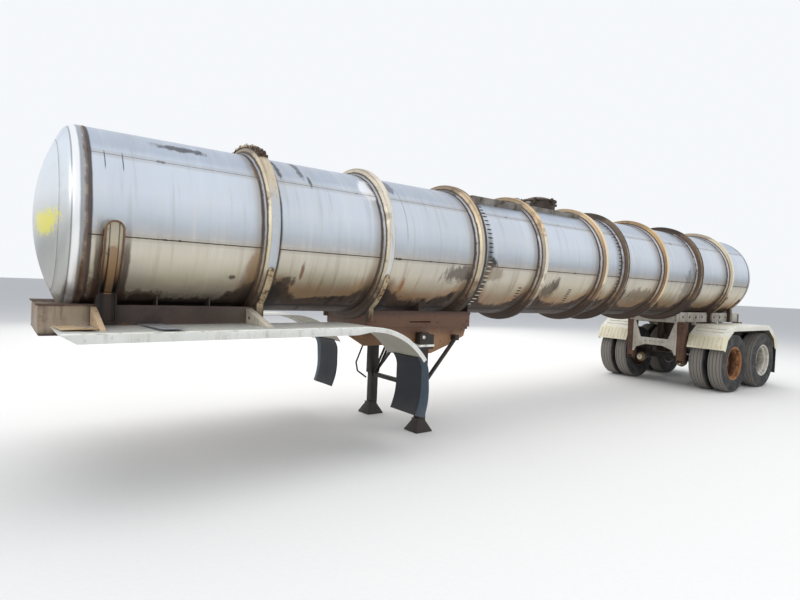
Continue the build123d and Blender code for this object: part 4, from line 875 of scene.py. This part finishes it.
# Carried-over parts with broken edges and their own finish
dressTable = (
    # finish, edge break, nodes
    ("saddleSteel", 0.002, "front_saddles"),
    ("strapRust", 0.002, "saddle_straps"),
    ("bolsterTan", 0.003, "front_bolster"),
    ("frameBrown", 0.002, "front_frame middle_crossmember"),
    ("frameBrown", 0.003, "coupler_plate"),
    ("frameBrown", 0.004, "rear_bumper"),
    ("hubDark", 0.001, "kingpin"),
    ("fenderSheet", 0.0012, "front_fender_left front_fender_right"),
    ("fenderCream", 0.0012, "rear_fender_left rear_fender_right"),
    ("creamBracket", 0.0015, "front_fender_brackets"),
    ("skirtRust", 0.002, "landing_subframe"),
    ("legBlack", 0.004, "landing_legs landing_feet"),
    ("legBlack", 0.001, "landing_cross_shaft landing_crank leg_stays"),
    ("legBlack", 0.002, "leg_cross_braces"),
    ("paleGrey", 0.002, "rear_frame rear_crossmember rear_fender_arms"),
    ("paleGrey", 0.003, "tail_light_bar"),
    ("hangerRust", 0.002, "spring_hangers"),
    ("springDark", 0.0015, "leaf_springs radius_rods"),
    ("springDark", 0.002, "spring_equalizers"),
    ("axleDark", 0.002, "axles"),
    ("chamberDark", 0.002, "brake_chambers"),
    ("fittingSteel", 0.0015, "rear_outlet"),
    ("fittingSteel", 0.002, "top_vents"),
    ("lidStained", 0.0015, "manway_collar"),
    ("kerbGrey", 0.001, "top_kerbs"),
    ("ladderAluminium", 0.001, "side_ladder"),
)
for finish, soften, nodes in dressTable:
    for node in nodes.split():
        dressed(node, finish, soften=soften)
dressed("manway_lid", "lidStained", "manway_cover", 0.002)
print("stage 4: frame parts dressed")

# Trim and fittings
fenderTop = {"front": 0.200, "lip": 1.2165, "lipBead": 0.0045, "ribs": (1.190, 1.160), "ribBead": 0.0030}
rearPanel = {
    "low": (-3.742, 0.785), "fold": (-3.834, 1.020), "top": (-4.110, 1.203), "longRibs": (0.36, 0.66),
    "shortRibs": 8, "firstRib": 0.660, "pitch": 0.075,
}
lidAt = {"station": 6.080, "rim": 3.1068, "reach": 0.266, "nuts": 6}
plateBase, plateThick = 1.2945, 0.004
legStrap = {"x": 2.4505, "y": 0.5305, "z": 1.018}
gearBolt = {"x": 2.500, "z": 1.118, "boss": 0.600, "face": 0.614}
lamp = {"sunk": 0.010, "proud": 0.0007, "radius": 0.044}


def makeFenderTrim():
    # rolled lip and ribs along the front fender's outer edge
    centre = (-flap["tipEnd"], flap["tipHeight"] - flap["tipRadius"])
    tip = arcPoints(centre, flap["tipRadius"], pi / 2, pi / 2 + radians(flap["slope"]), 14)
    path = [(x, flap["tipHeight"]) for x in (fenderTop["front"], -0.6, -1.2, -1.8)] + tip
    for side, way in sides:
        bm = bmesh.new()
        bead(bm, [(x, way * fenderTop["lip"], z) for x, z in path], fenderTop["lipBead"], 6)
        for y in fenderTop["ribs"]:
            bead(bm, [(x, way * y, z) for x, z in path], fenderTop["ribBead"], 6)
        move(bm, fenderRise)
        finishPiece(f"front_fender_trim_{side}", bm, "fenderBright", smooth=60)


def makeLoosePlates():
    # pieces of sheet lying on the left fender
    for name, finish, plates in (
        ("loose_plate", "looseTin", [(0.41, 0.60, 0.50, 1.18, 1.4)]),
        ("tan_plates", "tanPatch", [(-0.205, -0.060, 0.55, 0.98, 1.0), (-0.09, 0.02, 0.70, 1.02, 2.2)]),
    ):
        bm = bmesh.new()
        for s0, s1, y0, y1, tilt in plates:
            middle = (-(s0 + s1) / 2, (y0 + y1) / 2, plateBase + plateThick / 2)
            verts = addCube(bm, middle, (s1 - s0, y1 - y0, plateThick))
            hinge = Vector((-(s0 + s1) / 2, y0, plateBase))
            lean = Matrix.Rotation(radians(tilt), 4, "X") @ Matrix.Rotation(radians(tilt * 3), 4, "Z")
            move(bm, about(hinge, lean), verts)
        softenEdges(bm, 0.0012, segments=1)
        move(bm, fenderRise)
        finishPiece(name, bm, finish, smooth=40)


def makeFenderRibs():
    # two long pressed ribs on the upper panel, short upright ones on the lower
    low, fold, top = (Vector((rearPanel[key][0], 0, rearPanel[key][1])) for key in ("low", "fold", "top"))
    for side, way in sides:
        bm = bmesh.new()
        for share in rearPanel["longRibs"]:
            middle = fold.lerp(top, share)
            bead(bm, [(middle.x, way * y, middle.z) for y in (0.680, 0.700, 1.150, 1.170)], 0.0075, 8)
        for index in range(rearPanel["shortRibs"]):
            y = way * (rearPanel["firstRib"] + rearPanel["pitch"] * index)
            bead(bm, [low.lerp(fold, share) + Vector((0, y, 0)) for share in (0.10, 0.50, 0.90)], 0.0040, 6)
        finishPiece(f"rear_fender_ribs_{side}", bm, "ribShade", smooth=60, upright=False)


def makeLegTrim():
    # a pale strap round each leg and the gearbox bolt
    bm = bmesh.new()
    for way in (1, -1):
        for half in (0, 1):
            size = (0.222 + 0.004 * half, 0.157 + 0.004 * half, 0.026 - 0.008 * half)
            addCube(bm, (legStrap["x"], way * legStrap["y"], legStrap["z"]), size)
        boss, face = ((gearBolt["x"], way * gearBolt[key], gearBolt["z"]) for key in ("boss", "face"))
        addRod(bm, boss, face, 0.020, 20)
        addNut(bm, face, (0, way, 0), 0.022, 0.008)
    softenEdges(bm, 0.0012, segments=1)
    finishPiece("leg_trim", bm, "fenderBright", smooth=40, upright=False)


def makeLidNuts():
    bm = bmesh.new()
    for index in range(lidAt["nuts"]):
        angle = radians((index + 0.5) * 360 / lidAt["nuts"])
        x = -lidAt["station"] + lidAt["reach"] * cos(angle)
        y = lidAt["reach"] * sin(angle)
        addNut(bm, (x, y, lidAt["rim"]), (0, 0, 1), 0.030, 0.014, 0.012)
        addCube(bm, (x, y, lidAt["rim"] + 0.016), (0.010, 0.052, 0.016), Matrix.Rotation(angle, 4, "Z"))
    softenEdges(bm, 0.0012, segments=1)
    finishPiece("lid_nuts", bm, "hubDark", "manway_cover", smooth=40)


def makeTailLamps():
    low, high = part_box("tail_light_bar")
    middle = (low.z + high.z) / 2
    for name, lens, places in (("stop_lamps", "lensRed", (0.62, 0.90)), ("turn_lamps", "lensAmber", (0.76,))):
        bm = bmesh.new()
        for y in [way * place for place in places for way in (1, -1)]:
            addRod(bm, (low.x + lamp["sunk"], y, middle), (low.x - lamp["proud"], y, middle), lamp["radius"], 32)
        softenEdges(bm, 0.0005, segments=1)
        finishPiece(name, bm, lens, smooth=30, upright=False)


chamber = {
    "y": 0.400, "z": 0.4655, "backs": (0, -1.245), "plate": 0.0125, "face": 0.050,
    "band": 0.0880, "bandBehind": 0.086, "steps": 40, "wire": 0.0065,
}


def makeChamberTrim():
    # clamp band, bare end and breather of each brake chamber
    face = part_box("brake_chambers")[1].x
    bm = bmesh.new()
    bands = bmesh.new()
    for back in chamber["backs"]:
        for way in (1, -1):
            front = Vector((face + back, way * chamber["y"], chamber["z"]))
            plate = front - Vector((chamber["plate"], 0, 0))
            addRod(bm, plate - Vector((0.002, 0, 0)), plate + Vector((0.003, 0, 0)), chamber["face"], 32)
            addNut(bm, front, (1, 0, 0), 0.026, 0.010)
            ring = [
                front + Vector((-chamber["bandBehind"], chamber["band"] * cos(turn), chamber["band"] * sin(turn)))
                for turn in (2 * pi * i / chamber["steps"] for i in range(chamber["steps"]))
            ]
            bead(bands, ring, chamber["wire"], 8, closed=True)
    softenEdges(bm, 0.001, segments=1)
    finishPiece("chamber_faces", bm, "chamberFace", smooth=40, upright=False)
    finishPiece("chamber_bands", bands, "hangerRust", smooth=60, upright=False)


def makeSaddleWelds():
    # the weld that follows the round top of each front saddle
    crown = arcPoints((0.1715, -0.161), 0.0765, pi, 0, 12)
    arc = [(0.095, -0.450), (0.095, -0.300), *crown, (0.248, -0.300), (0.248, -0.450)]
    bm = bmesh.new()
    for way in (1, -1):
        far = tank["radius"] + 0.0015
        line = [(-station, way * sqrt(far**2 - lift**2), axisHeight + lift) for station, lift in arc]
        bead(bm, line, 0.0055, 8)
    finishPiece("saddle_welds", bm, "hangerRust", smooth=60)


makeSaddleWelds()
makeChamberTrim()
makeFenderRibs()
makeLegTrim()
makeLidNuts()
makeTailLamps()
print("stage 5: trim and fittings")

# Running gear
tyre = {"radius": 0.525, "width": 0.279, "bead": 0.28605, "rim": 0.1045, "segments": 96}
wheel = {"inner": 0.7455, "outer": 1.0805, "mount": 0.913, "disc": 0.012, "studs": 10, "studCircle": 0.1429}
axles = {"front": (-4.31203, 0, 0.525), "rear": (-5.55703, 0, 0.525)}
rim = {"radius": 0.2985, "out": 0.1168, "capNuts": 6, "capCircle": 0.052}
nut = {"washer": 0.006, "radius": 0.024, "across": 0.038, "depth": 0.022, "stud": 0.016}
valve = {"ends": ((0.17, 0.10, 0.15), (0.175, 0.16, 0.155)), "radius": 0.006}
tyreBulge = (
    # in from the widest, radius
    (0.021, 0.325), (0.014, 0.338), (0.0105, 0.352), (0.004, 0.366), (0.0045, 0.371), (0.0005, 0.388),
    (0, 0.402), (0.0008, 0.424), (0.0032, 0.444), (0.0025, 0.4455), (0.0045, 0.4600), (0.0085, 0.4800),
    (0.0125, 0.4935), (0.0185, 0.5080), (0.0275, 0.5188),
)


def tyreLine():
    # half section from the bead to the tread's middle: y from the tyre's middle, radius
    half = tyre["width"] / 2
    side = [
        (tyre["rim"], tyre["bead"]), (tyre["rim"], tyre["bead"] + 0.0118), (tyre["rim"] + 0.0105, tyre["bead"] + 0.018),
        *[(half - inset, radius) for inset, radius in tyreBulge],
    ]
    tread = []
    for middle in (0.086, 0.031):
        for offset, depth in ((0.0058, 0), (0.0040, 0.0085), (-0.0040, 0.0085), (-0.0058, 0)):
            y = middle + offset
            crown = tyre["radius"] - 0.0062 * (y / half) ** 2
            tread.append((y, crown - depth))
    return side + tread


def makeTyres():
    line = tyreLine()
    section = [*line, *[(-y, r) for y, r in reversed(line)]]
    for axle, centre in axles.items():
        tyreRubber(f"tyreRubber_{axle}", centre)
        for side, way in sides:
            bm = bmesh.new()
            for middle in (wheel["inner"], wheel["outer"]):
                points = [(centre[0], way * (middle + y), centre[2] + r) for y, r in section]
                single = spun(points, (0, 1, 0), centre, tyre["segments"], closed=True)
                mesh = bpy.data.meshes.new("turned")
                single.to_mesh(mesh)
                single.free()
                bm.from_mesh(mesh)
                bpy.data.meshes.remove(mesh)
            finishPiece(
                f"{axle}_{side}_tyre_pair", bm, f"tyreRubber_{axle}", f"{axle}_{side}_wheel_set",
                [f"{axle}_{side}_tyres"], smooth=38, upright=False,
            )


def makeWheelDetails():
    for axle, centre in axles.items():
        paint = "wheelRust" if axle == "front" else "wheelWhite"
        for side, way in sides:
            name = f"{axle}_{side}"
            body = name + "_wheel_set"
            dressed(name + "_wheels", paint, body, 0.002, 30)
            dressed(name + "_hub", "hubDark", body, 0.002, 30)
            bm = bmesh.new()
            face = way * (wheel["mount"] + wheel["disc"])
            for x, y, z in around(centre, face, wheel["studCircle"], wheel["studs"]):
                seat = (x, y + way * nut["washer"], z)
                addRod(bm, (x, y, z), seat, nut["radius"], 16)
                addNut(bm, seat, (0, way, 0), nut["across"], nut["depth"], nut["stud"])
            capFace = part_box(name + "_hub")[1 if way > 0 else 0].y
            for point in around(centre, capFace, rim["capCircle"], rim["capNuts"], 0.5):
                addNut(bm, point, (0, way, 0), 0.016, 0.006)
            finishPiece(name + "_nuts", bm, "hubDark", body, smooth=30, upright=False)
            # rolled lip of the outer rim, and the valve
            bm = bmesh.new()
            bead(bm, around(centre, way * (wheel["outer"] + rim["out"]), rim["radius"], 72), 0.0055, 8, closed=True)
            ends = [(centre[0] + x, way * (wheel["mount"] + y), centre[2] + z) for x, y, z in valve["ends"]]
            addRod(bm, *ends, valve["radius"], 8)
            finishPiece(name + "_rim_lip", bm, paint, body, smooth=60, upright=False)


makeTyres()
makeWheelDetails()
print("stage 6: wheels and tyres")

# Mud flaps
flap = {
    "inner": 0.660, "outer": 1.212, "thick": 0.008, "tipRadius": 0.839, "tipHeight": 1.290, "tipEnd": 2.335,
    "slope": 54, "lap": 1.5, "run": 0.012, "curve": 0.200, "drop": 0.150, "hemRadius": 0.750, "hemTurn": 25,
    "sheet": 0.004, "gap": 0.0003, "rise": 0.65, "split": 1.09, "stiff": 0.12, "wave": 0.006, "curl": 0.038,
}
rearFlap = {"inner": 0.625, "width": 0.600, "columns": 16, "rows": 12, "tuck": 0.003, "wave": 0.008}
fenderRise = about(Vector((0, 0, flap["tipHeight"])), Matrix.Rotation(radians(flap["rise"]), 4, "Y"))


def flapLine():
    # the sheet's middle line, from its lap on the fender's tip down to its hem: x, z
    slope, lap, hem = (radians(flap[key]) for key in ("slope", "lap", "hemTurn"))
    reach = flap["tipRadius"] - flap["sheet"] - flap["gap"] - flap["thick"] / 2
    tipCentre = (-flap["tipEnd"], flap["tipHeight"] - flap["tipRadius"])
    lapped = arcPoints(tipCentre, reach, pi / 2 + slope - lap, pi / 2 + slope, 2)
    tipX, tipZ = lapped[-1]
    turn = pi / 2 - slope
    curve = flap["curve"]
    kneeCentre = (
        tipX - cos(slope) * flap["run"] + curve * cos(turn), tipZ - sin(slope) * flap["run"] - curve * sin(turn)
    )
    knee = arcPoints(kneeCentre, curve, pi - turn, pi, 8)
    lowX, lowZ = knee[-1][0], knee[-1][1] - flap["drop"]
    hem = arcPoints((lowX + flap["hemRadius"], lowZ), flap["hemRadius"], pi, pi + hem, 14)
    middle = [(lowX, lowZ + flap["drop"] * share) for share in (0.75, 0.5, 0.25)]
    return lapped + knee + middle + hem


def makeFrontFlaps():
    line = flapLine()
    length = sum(hypot(b[0] - a[0], b[1] - a[1]) for a, b in pairs(line))
    width = flap["outer"] - flap["inner"]
    low, high = line[-1][1], line[0][1]
    for side, way in sides:
        bm = bmesh.new()
        verts = [bm.verts.new((x, way * flap["inner"], z)) for x, z in line]
        edges = [bm.edges.new(pair) for pair in pairs(verts)]
        spread = bmesh.ops.extrude_edge_only(bm, edges=edges)["geom"]
        moved = [item for item in spread if isinstance(item, bmesh.types.BMVert)]
        bmesh.ops.translate(bm, vec=(0, way * width, 0), verts=moved)
        across = [e for e in bm.edges if abs(e.verts[0].co.y - e.verts[1].co.y) > width / 2]
        bmesh.ops.subdivide_edges(bm, edges=across, cuts=23)
        for v in bm.verts:
            free = max(0.0, (high - flap["stiff"] - v.co.z) / (high - low))
            v.co.x += flap["wave"] * free * noise.noise(Vector((v.co.y * 3, v.co.z * 2, way * 4)))
            strip = max(0.0, (abs(v.co.y) - flap["split"]) / (flap["outer"] - flap["split"]))
            v.co.x -= flap["curl"] * strip**2 * free
        thicken(bm, flap["thick"])
        softenEdges(bm, 0.0015, 60)
        move(bm, fenderRise)
        stands = ["front_mud_flaps"] if way > 0 else []
        piece = finishPiece(f"front_flap_{side}", bm, "flapRubber", stands=stands, smooth=40)


def makeRearFlaps():
    low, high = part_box("rear_mud_flaps")
    tall = high.z - low.z
    columns, rows = rearFlap["columns"], rearFlap["rows"]
    for side, way in sides:
        bm = cadMesh("rear_mud_flaps", lambda v: v.co.y * way >= 0)
        edges = [way * (rearFlap["inner"] + rearFlap["width"] * share / columns) for share in range(1, columns)]
        cuts = [((0, y, 0), (0, 1, 0)) for y in edges]
        cuts += [((0, 0, low.z + tall * share / rows), (0, 0, 1)) for share in range(1, rows)]
        for point, across in cuts:
            whole = bm.verts[:] + bm.edges[:] + bm.faces[:]
            bmesh.ops.bisect_plane(bm, geom=whole, plane_co=point, plane_no=across)
        for v in bm.verts:
            free = max(0.0, (high.z - flap["stiff"] - v.co.z) / tall)
            v.co.x -= rearFlap["wave"] * free * abs(noise.noise(Vector((v.co.y * 3, v.co.z * 2, 7))))
        stands = ["rear_mud_flaps"] if way > 0 else []
        piece = finishPiece(
            f"rear_flap_{side}", bm, "flapRubber", stands=stands, smooth=40, upright=False
        )


makeFrontFlaps()
makeRearFlaps()
makeFenderTrim()
makeLoosePlates()
print("stage 7: mud flaps and fender trim")

# Studio: pale floor, soft light, the photograph's camera
studio = {
    "eye": (6.533, 5.558, 1.728), "yaw": -126.515, "pitch": -1.670, "roll": 2.289, "lens": 24.70,
    "floor": (0.80, 0.79, 0.77), "grit": (0.70, 0.69, 0.67), "sky": (0.92, 0.94, 0.97), "light": (0.86, 0.91, 1.0),
}


def makeCamera():
    yaw, pitch, roll = (radians(studio[key]) for key in ("yaw", "pitch", "roll"))
    ahead = Vector((cos(pitch) * cos(yaw), cos(pitch) * sin(yaw), sin(pitch)))
    right = ahead.cross(Vector((0, 0, 1))).normalized()
    over = right.cross(ahead)
    tiltedRight = right * cos(roll) + over * sin(roll)
    tiltedUp = over * cos(roll) - right * sin(roll)
    turn = Matrix((tiltedRight, tiltedUp, -ahead)).transposed().to_4x4()
    lens = bpy.data.cameras.new("photoCamera")
    lens.lens = studio["lens"]
    lens.sensor_width = 36
    lens.clip_end = 500
    camera = link("photoCamera", lens)
    camera.matrix_world = shift(studio["eye"]) @ turn
    bpy.context.scene.camera = camera


def makeFloor():
    bm = bmesh.new()
    bmesh.ops.create_grid(bm, x_segments=1, y_segments=1, size=120)
    mesh = bpy.data.meshes.new("floor")
    bm.to_mesh(mesh)
    bm.free()
    ground = Finish("paleFloor")
    speckle = ground.rise(ground.cloud(30, 4), 0.3, 0.7) * 0.15
    ground.give("Base Color", ground.mix(speckle, (*studio["floor"], 1), (*studio["grit"], 1)))
    ground.give("Roughness", 0.9)
    mesh.materials.append(ground.material)
    link("floor", mesh)


def softLamp(name, place, aim, size, power, colour=(1, 1, 1), mirrored=False):
    # only the key lamp shows in the polished steel, which otherwise mirrors sky and floor
    light = bpy.data.lights.new(name, "AREA")
    light.shape = "RECTANGLE"
    light.size, light.size_y = size
    light.energy = power
    light.color = colour
    holder = link(name, light)
    holder.visible_glossy = mirrored
    holder.matrix_world = shift(place) @ aimed(Vector(aim) - Vector(place), "-Z")


def makeSky():
    # what the camera and mirrors see is brighter than what lights the yard
    world = bpy.data.worlds.new("studioSky")
    bpy.context.scene.world = world
    world.use_nodes = True
    nodes = world.node_tree.nodes
    path, either, every, seen, mix = (
        nodes.new("ShaderNode" + kind) for kind in ("LightPath", "Math", "Math", "Background", "MixShader")
    )
    plain = nodes["Background"]
    either.operation = every.operation = "MAXIMUM"
    for shade, colour, strength in ((plain, studio["light"], 0.62), (seen, studio["sky"], 1.0)):
        shade.inputs["Color"].default_value = (*colour, 1)
        shade.inputs["Strength"].default_value = strength
    for output, socket in (
        (path.outputs["Is Camera Ray"], either.inputs[0]), (path.outputs["Is Glossy Ray"], either.inputs[1]),
        (either.outputs[0], every.inputs[0]), (path.outputs["Is Transmission Ray"], every.inputs[1]),
        (every.outputs[0], mix.inputs[0]), (plain.outputs[0], mix.inputs[1]), (seen.outputs[0], mix.inputs[2]),
        (mix.outputs[0], nodes["World Output"].inputs["Surface"]),
    ):
        world.node_tree.links.new(output, socket)


makeCamera()
makeFloor()
makeSky()
softLamp("overhead", (-1, -2, 11), (0, 0, 1), (26, 16), 1700, (1.0, 0.98, 0.95))
softLamp("nearFill", (6, 12, 6), (1, 0, 1.5), (16, 8), 620, (0.96, 0.98, 1.0))
softLamp("farFill", (-3, -12, 6), (0, 0, 1.5), (18, 8), 560, (1.0, 0.97, 0.92))
softLamp("noseKey", (17, 3, 8), (5, 0, 1.8), (5, 5), 220, (1.0, 0.99, 0.97), mirrored=True)
bpy.context.scene.view_settings.view_transform = "Standard"
print("stage 8: studio")
